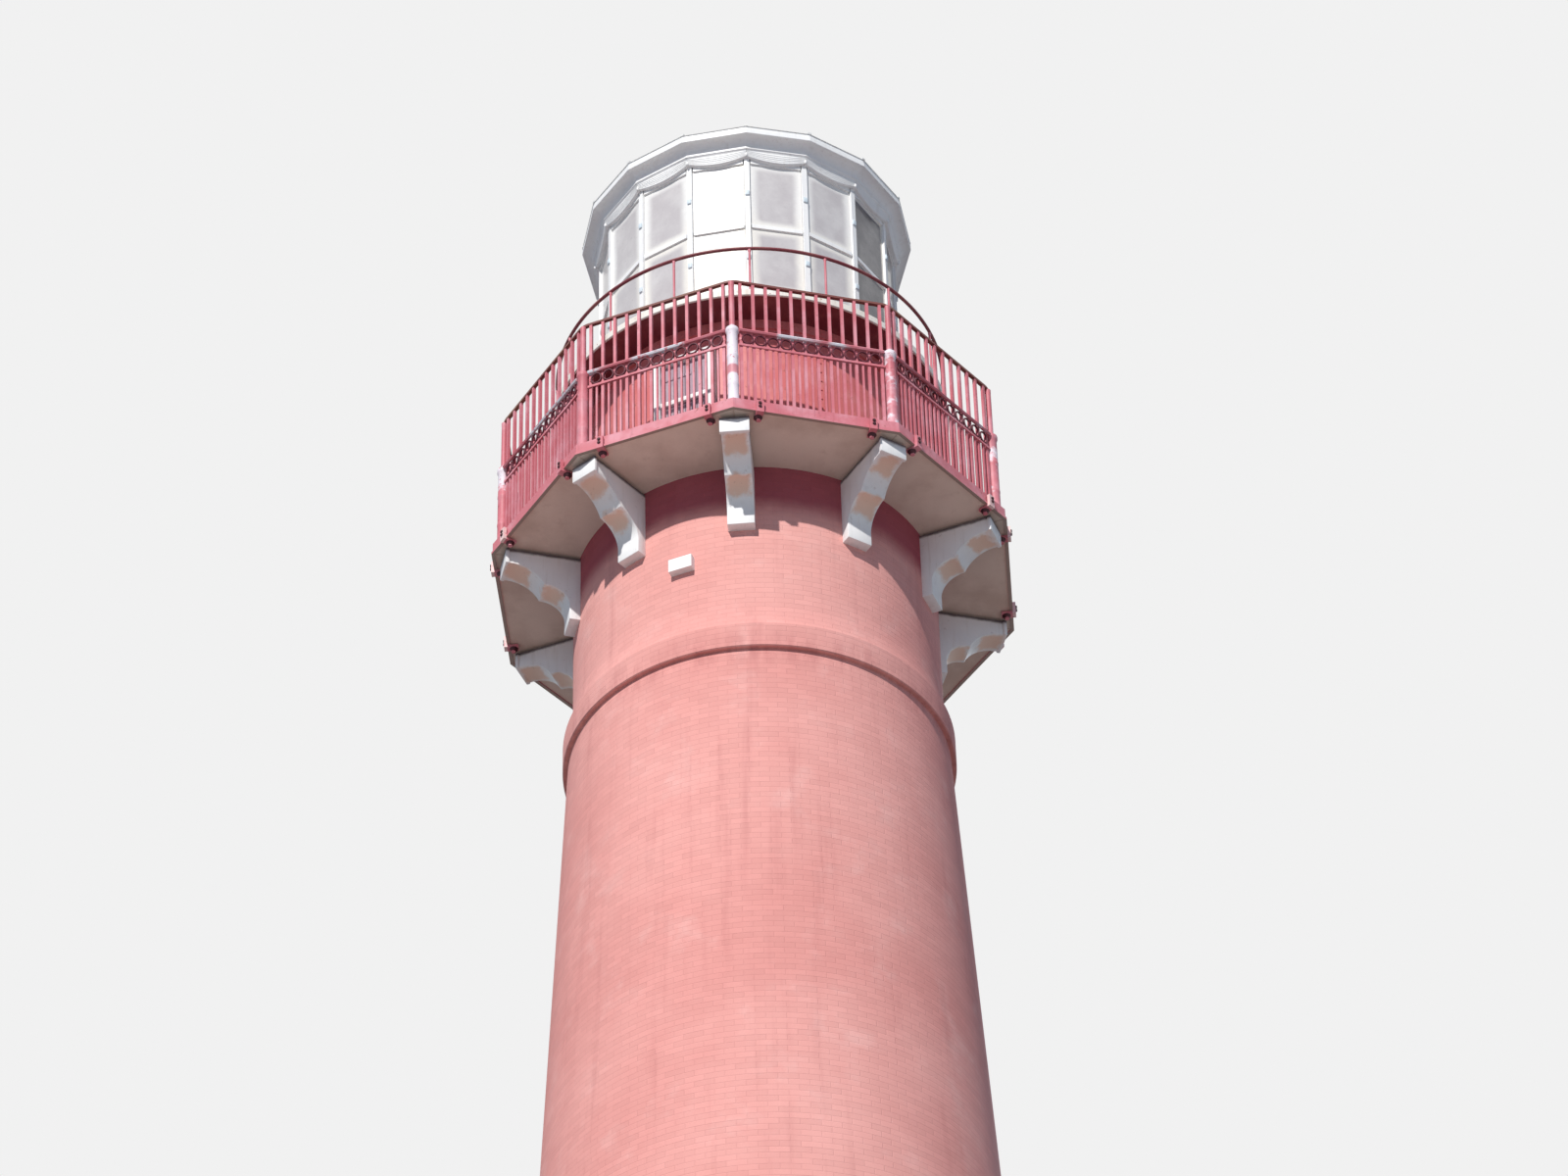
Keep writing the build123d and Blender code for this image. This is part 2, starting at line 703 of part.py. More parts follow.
with BuildPart() as hood_mouldings:
    for index in range(lantern_sides):
        with Locations(turned(lantern_corner_azimuth + lantern_angle * (index + 0.5))):
            add(hood_pattern.part)
finish(hood_mouldings, "hood_mouldings")

# Cornice: a coved soffit and a thin fascia, mitred at the sixteen corners
eave_inradius = eave_corner_radius * cos(lantern_half)
cove_foot = hood_face + hood_step_depth
cornice_top = eave_level + eave_fascia_height
cornice_inner = lantern_inradius - lantern_wall_thickness
mitre_half = lantern_half - cornice_seam / (2 * eave_corner_radius)
with BuildPart() as cornice_pattern:
    with BuildSketch(radial_plane(0)):
        with BuildLine():
            cove_middle = (cove_foot + cornice_cove, hood_top + cornice_cove)
            Polyline(
                (cove_foot, hood_top),
                (cornice_inner, hood_top),
                (cornice_inner, cornice_top),
                (eave_inradius, cornice_top),
                (eave_inradius, eave_level),
                (eave_inradius - eave_lip, eave_level),
            )
            ThreePointArc((eave_inradius - eave_lip, eave_level), cove_middle, (cove_foot, hood_top))
        make_face()
    extrude(amount=eave_corner_radius, both=True)
    side_wedge(mitre_half, 2 * eave_corner_radius, hood_top, cornice_top - hood_top)

with BuildPart() as cornice:
    for index in range(lantern_sides):
        with Locations(turned(lantern_corner_azimuth + lantern_angle * (index + 0.5))):
            add(cornice_pattern.part)
finish(cornice, "cornice")

# Roof of sixteen flat panels that lean on a neck ring, with a rib over each joint
roof_run = eave_inradius - roof_neck_radius
roof_top = cornice_top + roof_rise
with BuildPart() as roof_pattern:
    with BuildSketch(radial_plane(0)):
        with BuildLine():
            Polyline(
                (eave_inradius, cornice_top),
                (roof_neck_radius, roof_top),
                (roof_neck_radius, roof_top - roof_thickness),
                (eave_inradius - roof_thickness * roof_run / roof_rise, cornice_top),
                close=True,
            )
        make_face()
    extrude(amount=eave_corner_radius, both=True)
    side_wedge(mitre_half, 2 * eave_corner_radius, cornice_top, roof_rise)

with BuildPart() as roof_panels:
    for index in range(lantern_sides):
        with Locations(turned(lantern_corner_azimuth + lantern_angle * (index + 0.5))):
            add(roof_pattern.part)
finish(roof_panels, "roof_panels")

# Ribs follow the corners, so they run to the corner radius of the roof
neck_corner_radius = roof_neck_radius / cos(lantern_half)
with BuildPart() as rib_pattern:
    with BuildSketch(radial_plane(0)):
        with BuildLine():
            Polyline(
                (eave_corner_radius, cornice_top + fit_gap),
                (neck_corner_radius, roof_top + fit_gap),
                (neck_corner_radius, roof_top + fit_gap + roof_rib_height),
                (eave_corner_radius, cornice_top + fit_gap + roof_rib_height),
                close=True,
            )
        make_face()
    extrude(amount=roof_rib_width / 2, both=True)

with BuildPart() as roof_ribs:
    for index in range(lantern_sides):
        with Locations(turned(lantern_corner_azimuth + lantern_angle * index)):
            add(rib_pattern.part)
finish(roof_ribs, "roof_ribs")

# Ventilator: a neck, a ball and a short spout, all with the sixteen sides of the roof
neck_low = roof_top - neck_seat_depth
neck_width = roof_neck_radius - fit_gap
ball_centre = roof_top + ball_neck_height + sqrt(ball_radius**2 - ball_seat_radius**2)
ball_start = -acos(ball_seat_radius / ball_radius)
ball_span = acos(spout_radius / ball_radius) - ball_start
spout_top = ball_centre + sqrt(ball_radius**2 - spout_radius**2) + spout_height
gore_outline = [(0, neck_low), (neck_width, neck_low), (neck_width, roof_top + neck_seat_depth)]
for band in range(ball_bands + 1):
    tilt = ball_start + ball_span * band / ball_bands
    gore_outline.append((ball_radius * cos(tilt), ball_centre + ball_radius * sin(tilt)))
gore_outline.extend([(spout_radius, spout_top), (0, spout_top)])
with BuildPart() as ventilator_gore:
    with BuildSketch(radial_plane(0)):
        with BuildLine():
            Polyline(*gore_outline, close=True)
        make_face()
    extrude(amount=ball_radius, both=True)
    side_wedge(lantern_half, 2 * ball_radius, neck_low, spout_top - neck_low)

with BuildPart() as ventilator:
    for index in range(lantern_sides):
        with Locations(turned(lantern_corner_azimuth + lantern_angle * (index + 0.5))):
            add(ventilator_gore.part)
finish(ventilator, "ventilator")

rod_taper = degrees(atan2((rod_diameter - rod_tip_diameter) / 2, rod_tip))
with BuildPart() as lightning_rod:
    with BuildSketch(Plane.XY.offset(spout_top)):
        RegularPolygon(rod_diameter / 2, bar_sides)
    extrude(amount=rod_length - rod_tip)
    with BuildSketch(Plane.XY.offset(spout_top + rod_length - rod_tip)):
        RegularPolygon(rod_diameter / 2, bar_sides)
    extrude(amount=rod_tip, taper=rod_taper)
finish(lightning_rod, "lightning_rod")

# White vent box on the shaft, on the sunny side below the gallery
with BuildPart() as wall_vent:
    with BuildSketch(facing_plane(vent_azimuth, shaft_top_radius + vent_depth, deck_level - vent_drop)):
        Rectangle(vent_width, vent_height)
    extrude(amount=-2 * vent_depth)
    chamfer(wall_vent.faces().sort_by(Axis.Z)[-1].edges(), length=vent_bevel)
    with BuildSketch(Plane.XY.offset(deck_level)):
        Circle(shaft_seat)
    extrude(amount=-2 * vent_drop, mode=Mode.SUBTRACT)
finish(wall_vent, "wall_vent")
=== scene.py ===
"""Half-size model of a tall red lighthouse, seen from the ground below its gallery."""
import logging
import math
from dataclasses import asdict, dataclass, fields
from enum import Enum
from typing import Callable, Iterable, Sequence, Union

import bmesh
import bpy
from mathutils import Matrix, Vector

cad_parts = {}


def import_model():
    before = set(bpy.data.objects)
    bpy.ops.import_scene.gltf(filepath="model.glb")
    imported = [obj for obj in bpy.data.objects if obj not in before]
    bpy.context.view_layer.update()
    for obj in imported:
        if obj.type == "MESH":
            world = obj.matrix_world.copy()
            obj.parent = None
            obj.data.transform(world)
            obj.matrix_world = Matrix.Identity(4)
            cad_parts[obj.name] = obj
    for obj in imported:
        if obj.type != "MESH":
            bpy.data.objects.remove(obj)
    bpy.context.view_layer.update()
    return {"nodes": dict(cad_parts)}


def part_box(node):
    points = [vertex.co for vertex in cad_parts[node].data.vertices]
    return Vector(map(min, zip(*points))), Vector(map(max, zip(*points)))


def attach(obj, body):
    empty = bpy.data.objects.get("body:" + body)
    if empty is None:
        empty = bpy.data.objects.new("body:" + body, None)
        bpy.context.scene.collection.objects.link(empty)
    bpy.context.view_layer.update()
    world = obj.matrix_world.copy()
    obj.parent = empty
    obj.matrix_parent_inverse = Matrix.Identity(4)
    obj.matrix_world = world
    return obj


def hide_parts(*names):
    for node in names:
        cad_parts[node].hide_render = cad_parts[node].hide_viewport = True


LOG = logging.getLogger("lighthouse")
BODY = "root"
CREASE = 32.0  # degrees between faces above which an edge stays sharp
HAIR = 0.0003  # metres that a moulding stands off what carries it
Flat = tuple[float, float]
Point = tuple[float, float, float]
Outline = Sequence[Flat]
Form = bmesh.types.BMesh
Material = bpy.types.Material


def outward(azimuth: float) -> Vector:
    """Return the level direction at an azimuth from -Y, growing towards +X, in degrees."""
    angle = math.radians(azimuth)
    return Vector((math.sin(angle), -math.cos(angle), 0.0))


def sideways(azimuth: float) -> Vector:
    """Return the level direction to the right of somebody who looks at the tower."""
    angle = math.radians(azimuth)
    return Vector((math.cos(angle), math.sin(angle), 0.0))


def low(node: str) -> float:
    """Return the lowest level of a CAD node."""
    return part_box(node)[0].z


def high(node: str) -> float:
    """Return the highest level of a CAD node."""
    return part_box(node)[1].z


def places(node: str) -> list[Vector]:
    """Return the corners of a CAD node."""
    return [vertex.co for vertex in bpy.data.objects[node].data.vertices]


def face_of(node: str, azimuth: float) -> float:
    """Return how far a CAD node reaches from the axis along an azimuth."""
    return max(place.dot(outward(azimuth)) for place in places(node))


def spans(node: str) -> Flat:
    """Return how near a CAD node comes to the axis, and how far it reaches from it."""
    distances = [math.hypot(place.x, place.y) for place in places(node)]
    return min(distances), max(distances)


class Paint(Enum):
    """Slot names for the finishes of new pieces; add() takes them but does not use them."""

    MASONRY = "red_masonry"
    WHITE = "white_paint"
    DOOR = "door_paint"
    RED = "red_iron"
    DARK_RED = "dark_red_iron"
    WHITE_IRON = "white_iron"
    METAL = "bare_metal"


def operation(name: str, swapped: bool = False) -> Callable[..., "Value"]:
    """Return a method of Value that adds a Math node.

    Args:
        name: The node's operation.
        swapped: Whether the value itself is the last input, not the first.

    Returns:
        The method, which takes the other inputs.
    """

    def apply(value: "Value", *others: "Feed") -> "Value":
        """Return the node's result."""
        feeds = (*others, value) if swapped else (value, *others)
        return Value(value.graph, value.graph.out("ShaderNodeMath", {"operation": name}, dict(enumerate(feeds))))

    return apply


class Value:
    """A number that runs through a node tree, with the usual arithmetic.

    a.angle_to(b) is the angle of the arrow (b, a) in radians, and fraction is what floor drops.
    """

    def __init__(self, graph: "Graph", socket: bpy.types.NodeSocket) -> None:
        """Wrap an output socket of a graph."""
        self.graph = graph
        self.socket = socket

    __add__ = __radd__ = operation("ADD")
    __sub__ = operation("SUBTRACT")
    __rsub__ = operation("SUBTRACT", swapped=True)
    __mul__ = __rmul__ = operation("MULTIPLY")
    __truediv__ = operation("DIVIDE")
    __mod__ = operation("FLOORED_MODULO")
    __abs__ = operation("ABSOLUTE")
    floor = operation("FLOOR")
    fraction = operation("FRACT")
    root = operation("SQRT")
    sine = operation("SINE")
    cosine = operation("COSINE")
    angle_to = operation("ARCTAN2")
    least = operation("MINIMUM")
    most = operation("MAXIMUM")

    def rise(self, start: "Feed", end: "Feed") -> "Value":
        """Climb smoothly from 0 at start to 1 at end.

        Args:
            start: Value below which the result is 0.
            end: Value above which the result is 1.

        Returns:
            The eased value.
        """
        feeds = {"Value": self, "From Min": start, "From Max": end}
        return Value(self.graph, self.graph.out("ShaderNodeMapRange", {"interpolation_type": "SMOOTHSTEP"}, feeds))

    def near(self, centre: float, reach: float, edge: float) -> "Value":
        """Return 1 within reach of a centre and 0 beyond it, over a soft edge."""
        return 1.0 - abs(self - centre).rise(reach, reach + edge)

    def to_joint(self, size: float) -> "Value":
        """Return the distance to the nearest joint between units of a size, as the value counts units."""
        beside = self.fraction()
        return beside.least(1.0 - beside) * size


Feed = Union[float, int, str, tuple, Value, bpy.types.NodeSocket, bpy.types.ID]
Layer = tuple[Feed, Feed]


class Graph:
    """A node tree that is written as expressions."""

    def __init__(self, tree: bpy.types.NodeTree) -> None:
        """Wrap a node tree."""
        self.tree = tree

    def node(self, kind: str, settings: dict | None = None, feeds: dict | None = None) -> bpy.types.Node:
        """Add a node.

        Args:
            kind: The node's type.
            settings: Its own settings, set first.
            feeds: Values or links of its inputs, by name or place.

        Returns:
            The node.
        """
        made = self.tree.nodes.new(kind)
        for key, value in (settings or {}).items():
            setattr(made, key, value)
        for key, value in (feeds or {}).items():
            self.feed(made.inputs[key], value)
        return made

    def out(
        self, kind: str, settings: dict | None = None, feeds: dict | None = None, output: int | str = 0
    ) -> bpy.types.NodeSocket:
        """Add a node as node() does, and return one of its outputs."""
        return self.node(kind, settings, feeds).outputs[output]

    def feed(self, socket: bpy.types.NodeSocket, value: Feed) -> None:
        """Link or set an input; a colour is given without its alpha."""
        source = value.socket if isinstance(value, Value) else value
        if isinstance(source, bpy.types.NodeSocket):
            self.tree.links.new(source, socket)
        else:
            socket.default_value = (*source, 1.0) if socket.type == "RGBA" else source


class Finish(Graph):
    """The node tree of one material."""

    def __init__(self, name: str) -> None:
        """Start a material with a plain surface."""
        self.material = bpy.data.materials.new(name)
        self.material.use_nodes = True
        super().__init__(self.material.node_tree)
        self.surface = self.tree.nodes["Principled BSDF"]
        self.place = self.out("ShaderNodeTexCoord", output="Object")

    def axes(self) -> tuple[Value, Value, Value]:
        """Return x, y and z of the place on the object, in metres."""
        split = self.node("ShaderNodeSeparateXYZ", None, {0: self.place})
        x, y, z = (Value(self, socket) for socket in split.outputs)
        return x, y, z

    def facing(self) -> Value:
        """Return the upward part of the surface's direction."""
        normal = self.out("ShaderNodeNewGeometry", output="Normal")
        return Value(self, self.out("ShaderNodeSeparateXYZ", None, {0: normal}, 2))

    def polar(self) -> tuple[Value, Value, Value]:
        """Return azimuth in radians, distance from the axis, and level."""
        x, y, z = self.axes()
        return x.angle_to(y * -1.0), (x * x + y * y).root(), z

    def sides(self, count: int, first: float) -> tuple[Value, Value, Value, Value]:
        """Fold the surface onto the sides of a polygon about the axis.

        Args:
            count: Number of sides.
            first: Azimuth of the middle of one side, in degrees.

        Returns:
            Number of the side, distance along it from its middle, distance outwards, and level.
        """
        azimuth, radius, level = self.polar()
        step = 2 * math.pi / count
        turns = (azimuth - math.radians(first)) / step + 0.5
        angle = (turns.fraction() - 0.5) * step
        return turns.floor(), radius * angle.sine(), radius * angle.cosine(), level

    def noise(self, scale: float, detail: float = 3.0, stretch: Point = (1, 1, 1), shift: float = 0.0) -> Value:
        """Return a cloud pattern from 0 to 1.

        Args:
            scale: Clouds to the metre.
            detail: Number of finer layers.
            stretch: Factor of each axis before the pattern is read.
            shift: Distance that the pattern is moved, so that two patterns differ.

        Returns:
            The pattern.
        """
        feeds = {"Vector": self.place, "Scale": stretch, "Location": (shift, shift, shift)}
        moved = self.out("ShaderNodeMapping", None, feeds)
        feeds = {"Vector": moved, "Scale": scale, "Detail": detail, "Roughness": 0.6}
        return Value(self, self.out("ShaderNodeTexNoise", None, feeds))

    def chance(self, first: Feed, second: Feed) -> Value:
        """Return a random number from 0 to 1 that stays the same for the same pair of numbers."""
        pair = self.out("ShaderNodeCombineXYZ", None, {0: first, 1: second})
        return Value(self, self.out("ShaderNodeTexWhiteNoise", {"noise_dimensions": "2D"}, {"Vector": pair}))

    def mix(self, share: Feed, first: Feed, second: Feed, mode: str = "MIX") -> bpy.types.NodeSocket:
        """Mix two colours.

        Args:
            share: How much of the second shows.
            first: Colour or socket.
            second: Colour or socket.
            mode: Way of mixing.

        Returns:
            The mixed colour.
        """
        settings = {"data_type": "RGBA", "blend_type": mode}
        return self.out("ShaderNodeMix", settings, {0: share, 6: first, 7: second}, 2)

    def layers(self, ground: Feed, *layers: Layer) -> Feed:
        """Return a ground colour under layers, each a share and its colour, the lowest first."""
        for share, colour in layers:
            ground = self.mix(share, ground, colour)
        return ground

    def dress(
        self, colour: Feed, roughness: Feed, height: Value, shade: Value | None = None,
        metallic: float = 0.0, coat: float = 0.0, gloss: float = 0.32,
    ) -> Material:
        """Feed the surface.

        Args:
            colour: Base colour.
            roughness: Roughness.
            height: Relief in metres.
            shade: Factor that makes the colour lighter or darker.
            metallic: Share of bare metal.
            coat: Weight of a clear coat.
            gloss: Strength of reflections, the same all over.

        Returns:
            The material.
        """
        if shade is not None:
            grey = self.out("ShaderNodeCombineColor", None, {0: shade, 1: shade, 2: shade})
            colour = self.mix(1.0, colour, grey, "MULTIPLY")
        feeds = {
            "Base Color": colour, "Roughness": roughness, "Metallic": metallic, "Coat Weight": coat,
            "Specular IOR Level": gloss,
            "Normal": self.out("ShaderNodeBump", None, {"Distance": 1.0, "Height": height}),
        }
        for name, value in feeds.items():
            self.feed(self.surface.inputs[name], value)
        return self.material


@dataclass(frozen=True)
class Masonry:
    """Brickwork under many coats of red paint, darker and unbleached under the deck, and deepened there into painted
    shade.
    """

    foot_radius: float
    taper: float
    foul_level: float
    top_level: float
    course: float = 0.038
    brick: float = 0.112
    joint: float = 0.0035
    joint_depth: float = 0.0010
    # drops below the deck over which the painted shade fades in
    shelter: Flat = (0.40, 0.22)
    deep: Point = (0.73, 0.315, 0.285)
    light: Point = (0.83, 0.41, 0.37)
    chalk: Point = (0.87, 0.53, 0.49)
    soot: Point = (0.36, 0.10, 0.105)
    # painted shade: dark maroon that stands in for the deck's shadow on the brickwork
    fresh: Point = (0.29, 0.030, 0.068)

    def make(self) -> Material:
        """Return the material."""
        finish = Finish("painted brickwork")
        azimuth, _, level = finish.polar()
        courses = level / self.course
        row = courses.floor()
        count = ((self.foot_radius - row * (self.taper * self.course)) * (2 * math.pi / self.brick)).floor()
        along = azimuth / (2 * math.pi) * count + (row % 2.0) * 0.5
        joint = 1.0 - along.to_joint(self.brick).least(courses.to_joint(self.course)).rise(0.0, self.joint)
        own = finish.chance(along.floor(), row)
        clouds = finish.noise(0.7, 5.0)
        blotch = finish.noise(3.4, 6.0, shift=7.0)
        grain = finish.noise(160.0, 3.0)
        streaks = finish.noise(9.0, 4.0, (1, 1, 0.05), 3.0).rise(0.52, 0.78)
        foul = level.near(self.foul_level, 0.02, 0.16) * finish.noise(14.0, 4.0, (1, 1, 0.2)).rise(0.35, 0.7)
        shelter = (self.top_level - drop for drop in self.shelter)
        colour = finish.layers(
            self.deep,
            (clouds.rise(0.3, 0.7), self.light),
            (blotch.rise(0.52, 0.8) * 0.5, self.chalk),
            (streaks * 0.22, self.soot),
            (foul * 0.3, self.soot),
            # painted shade: the band under the deck, unbleached paint darkened to stand in for the deck's shadow
            ((level + (blotch - 0.5) * 0.12).rise(*shelter) * 0.8, self.fresh),
            (joint * 0.06, self.soot),
        )
        relief = grain * 0.0007 + own * 0.0006 - joint * self.joint_depth + blotch * 0.0012
        return finish.dress(colour, 0.62 + grain * 0.25, relief, own * 0.07 + grain * 0.1 + 0.92, gloss=0.08)


@dataclass(frozen=True)
class Iron:
    """Oil paint on iron, chalky in places, with rust that comes through."""

    name: str
    base: Point
    chalk: Point
    dirt: Point
    rust: Point = (0.20, 0.075, 0.035)
    chalk_share: float = 0.5
    rust_share: float = 0.5
    streak_share: float = 0.3
    roughness: float = 0.42

    def worn(self, finish: Finish) -> list[Layer]:
        """Return what shows where the paint is worn off."""
        return []

    def over(self, finish: Finish) -> list[Layer]:
        """Return what lies on top of all paint."""
        return []

    def make(self) -> Material:
        """Return the material."""
        finish = Finish(self.name)
        clouds = finish.noise(5.0, 5.0)
        spots = finish.noise(26.0, 6.0, shift=4.0)
        streaks = finish.noise(38.0, 3.0, (1, 1, 0.07), 9.0)
        grain = finish.noise(210.0, 2.0)
        rust = spots.rise(0.64, 0.70) * self.rust_share
        colour = finish.layers(
            self.base,
            (clouds.rise(0.42, 0.72) * self.chalk_share, self.chalk),
            (streaks.rise(0.5, 0.8) * self.streak_share, self.dirt),
            *self.worn(finish),
            (rust, self.rust),
            *self.over(finish),
        )
        relief = grain * 0.0003 + clouds * 0.0006 - rust * 0.0005
        return finish.dress(colour, self.roughness + grain * 0.16 + rust * 0.3, relief, grain * 0.12 + 0.93)


@dataclass(frozen=True)
class Fascia(Iron):
    """Red edge of the deck, whose downward faces carry the soffit's colour, darkened into painted shade."""

    # painted shade: the soffit's colour as it looks in the shade under the deck
    under: Point = (0.36, 0.26, 0.22)

    def over(self, finish: Finish) -> list[Layer]:
        """Return the dark brown of the downward faces: the soffit's colour as painted shade."""
        return [(1.0 - finish.facing().rise(-0.9, -0.6), self.under)]


@dataclass(frozen=True)
class Railing(Iron):
    """Fence paint, worn to the white undercoat on the handrail and in patches near the posts."""

    rail_level: float = 0.0
    rail_reach: float = 0.013
    post_radius: float = 0.0
    post_reach: float = 0.046
    undercoat: Point = (0.80, 0.80, 0.86)

    def worn(self, finish: Finish) -> list[Layer]:
        """Bare the undercoat.

        Args:
            finish: The material's node tree.

        Returns:
            The layers, each a share and its colour.
        """
        _, radius, level = finish.polar()
        stretches = finish.noise(1.5, 3.0, shift=2.6).rise(0.50, 0.56)
        chips = finish.noise(22.0, 5.0, shift=5.0).rise(0.36, 0.5)
        rail = level.near(self.rail_level, self.rail_reach, 0.002) * stretches * chips
        patches = finish.noise(4.2, 4.0, (1, 1, 0.6), 1.4).rise(0.47, 0.56)
        post = radius.near(self.post_radius, self.post_reach, 0.003) * patches * (1.0 - level.rise(-0.02, 0.02))
        return [(rail.most(post), self.undercoat)]


@dataclass(frozen=True)
class SidedIron(Iron):
    """Iron paint whose wear differs from side to side of a polygon about the axis."""

    count: int = 10
    first: float = 0.0


@dataclass(frozen=True)
class PostPaint(SidedIron):
    """Red posts with pale patches below the handrail, partly worn white undercoat and partly painted highlight, most of
    all on the front one.
    """

    rail_level: float = 0.0
    undercoat: Point = (0.88, 0.80, 0.86)

    def worn(self, finish: Finish) -> list[Layer]:
        """Paint the pale patches: worn undercoat and painted highlight.

        Args:
            finish: The material's node tree.

        Returns:
            The layers, each a share and its colour.
        """
        side, _, _, level = finish.sides(self.count, self.first)
        # painted highlight: more pale on the front post, less on the next one to its left
        front = side.near(0.0, 0.2, 0.4) - side.near(-1.0, 0.2, 0.4)
        upper = level.rise(self.rail_level - 0.32, self.rail_level - 0.12)
        patches = (finish.noise(3.4, 5.0, (1, 1, 1.3), 1.4) + front * 0.25 + upper * 0.08).rise(0.54, 0.62)
        bead = 1.0 - level.near(self.rail_level - 0.33, 0.025, 0.02) * 0.85
        below = 1.0 - level.rise(self.rail_level + 0.03, self.rail_level + 0.05)
        chips = finish.noise(40.0, 4.0, shift=5.0).rise(0.3, 0.42)
        return [(patches * below * chips * bead, self.undercoat)]


@dataclass(frozen=True)
class ClampPaint(SidedIron):
    """Red clamps, whose outer plates carry a pale painted sheen on the two sides of the gallery."""

    plate: float = 0.0
    flank: float = 97.0
    reach: float = 34.0
    # colour of the painted sheen
    pale: Point = (0.86, 0.62, 0.60)

    def worn(self, finish: Finish) -> list[Layer]:
        """Paint a pale sheen on the plates on the two sides.

        Args:
            finish: The material's node tree.

        Returns:
            The layers, each a share and its colour.
        """
        azimuth, _, _ = finish.polar()
        _, _, distance, _ = finish.sides(self.count, self.first)
        # painted sheen: pale plates on the two sides, where light glances off them
        painted_sheen = abs(azimuth).near(math.radians(self.flank), math.radians(self.reach), math.radians(6.0))
        chips = finish.noise(30.0, 4.0, shift=5.0).rise(0.28, 0.42)
        return [(painted_sheen * distance.rise(self.plate - 0.002, self.plate) * chips, self.pale)]


@dataclass(frozen=True)
class BracketPaint(SidedIron):
    """White brackets with tan patches of painted reflection in the coves, and painted shade in the joint under the
    deck.
    """

    half_width: float = 0.08
    coves: tuple[Flat, ...] = ()
    cove_reach: float = 0.085
    # colour of the painted reflection in the coves
    bare: Point = (0.82, 0.56, 0.42)
    joint_level: float = 0.0
    joint_reach: float = 0.032
    # painted shade: the dark colour of the joint under the deck
    grime: Point = (0.10, 0.075, 0.08)

    def over(self, finish: Finish) -> list[Layer]:
        """Paint shade into the joint under the deck.

        Args:
            finish: The material's node tree.

        Returns:
            The layers, each a share and its colour.
        """
        _, _, level = finish.polar()
        rough = (finish.noise(14.0, 4.0, shift=8.0) - 0.5) * 0.02
        dark = (level + rough).rise(self.joint_level - self.joint_reach, self.joint_level - self.joint_reach * 0.3)
        # painted shade where the bracket meets the deck
        return [(dark * 0.92, self.grime)]

    def worn(self, finish: Finish) -> list[Layer]:
        """Paint tan patches of reflected light on the downward faces of the coves.

        Args:
            finish: The material's node tree.

        Returns:
            The layers, each a share and its colour.
        """
        _, along, distance, level = finish.sides(self.count, self.first)
        ragged = finish.noise(12.0, 5.0, shift=3.0) - 0.5
        across = 1.0 - (abs(along) + ragged * 0.09).rise(self.half_width * 0.6, self.half_width * 1.05)
        # painted reflection: tan light thrown up by the red wall and the ground, on the coves' undersides
        painted_reflection = along * 0.0
        for radius, height in self.coves:
            out = distance - radius
            up = level - height
            far = (out * out + up * up).root() + ragged * 0.12
            painted_reflection = painted_reflection.most(1.0 - far.rise(self.cove_reach * 0.55, self.cove_reach * 1.05))
        under = 1.0 - finish.facing().rise(-0.35, -0.15)
        return [(painted_reflection * across * under * 0.85, self.bare)]


@dataclass(frozen=True)
class Soffit:
    """Off-white plates under the gallery, stained brown, and worn grey plates on top."""

    count: int
    first: float
    seam: float = 0.003
    pale: Point = (0.86, 0.70, 0.60)
    stain: Point = (0.60, 0.44, 0.36)
    tread: Point = (0.27, 0.24, 0.23)

    def make(self) -> Material:
        """Return the material."""
        finish = Finish("soffit paint")
        _, along, _, _ = finish.sides(self.count, self.first)
        clouds = finish.noise(2.6, 6.0)
        damp = finish.noise(9.0, 5.0, shift=6.0)
        grain = finish.noise(140.0, 3.0)
        line = abs(along).near(0.0, self.seam, 0.002)
        colour = finish.layers(
            self.pale,
            (clouds.rise(0.36, 0.7) * 0.7, self.stain),
            (damp.rise(0.6, 0.75) * 0.4, self.stain),
            (finish.facing().rise(0.4, 0.6), self.tread),
            (line * 0.7, self.stain),
        )
        relief = grain * 0.0004 - line * 0.002 + damp * 0.0008
        return finish.dress(colour, 0.6 + grain * 0.2, relief, grain * 0.14 + 0.9)


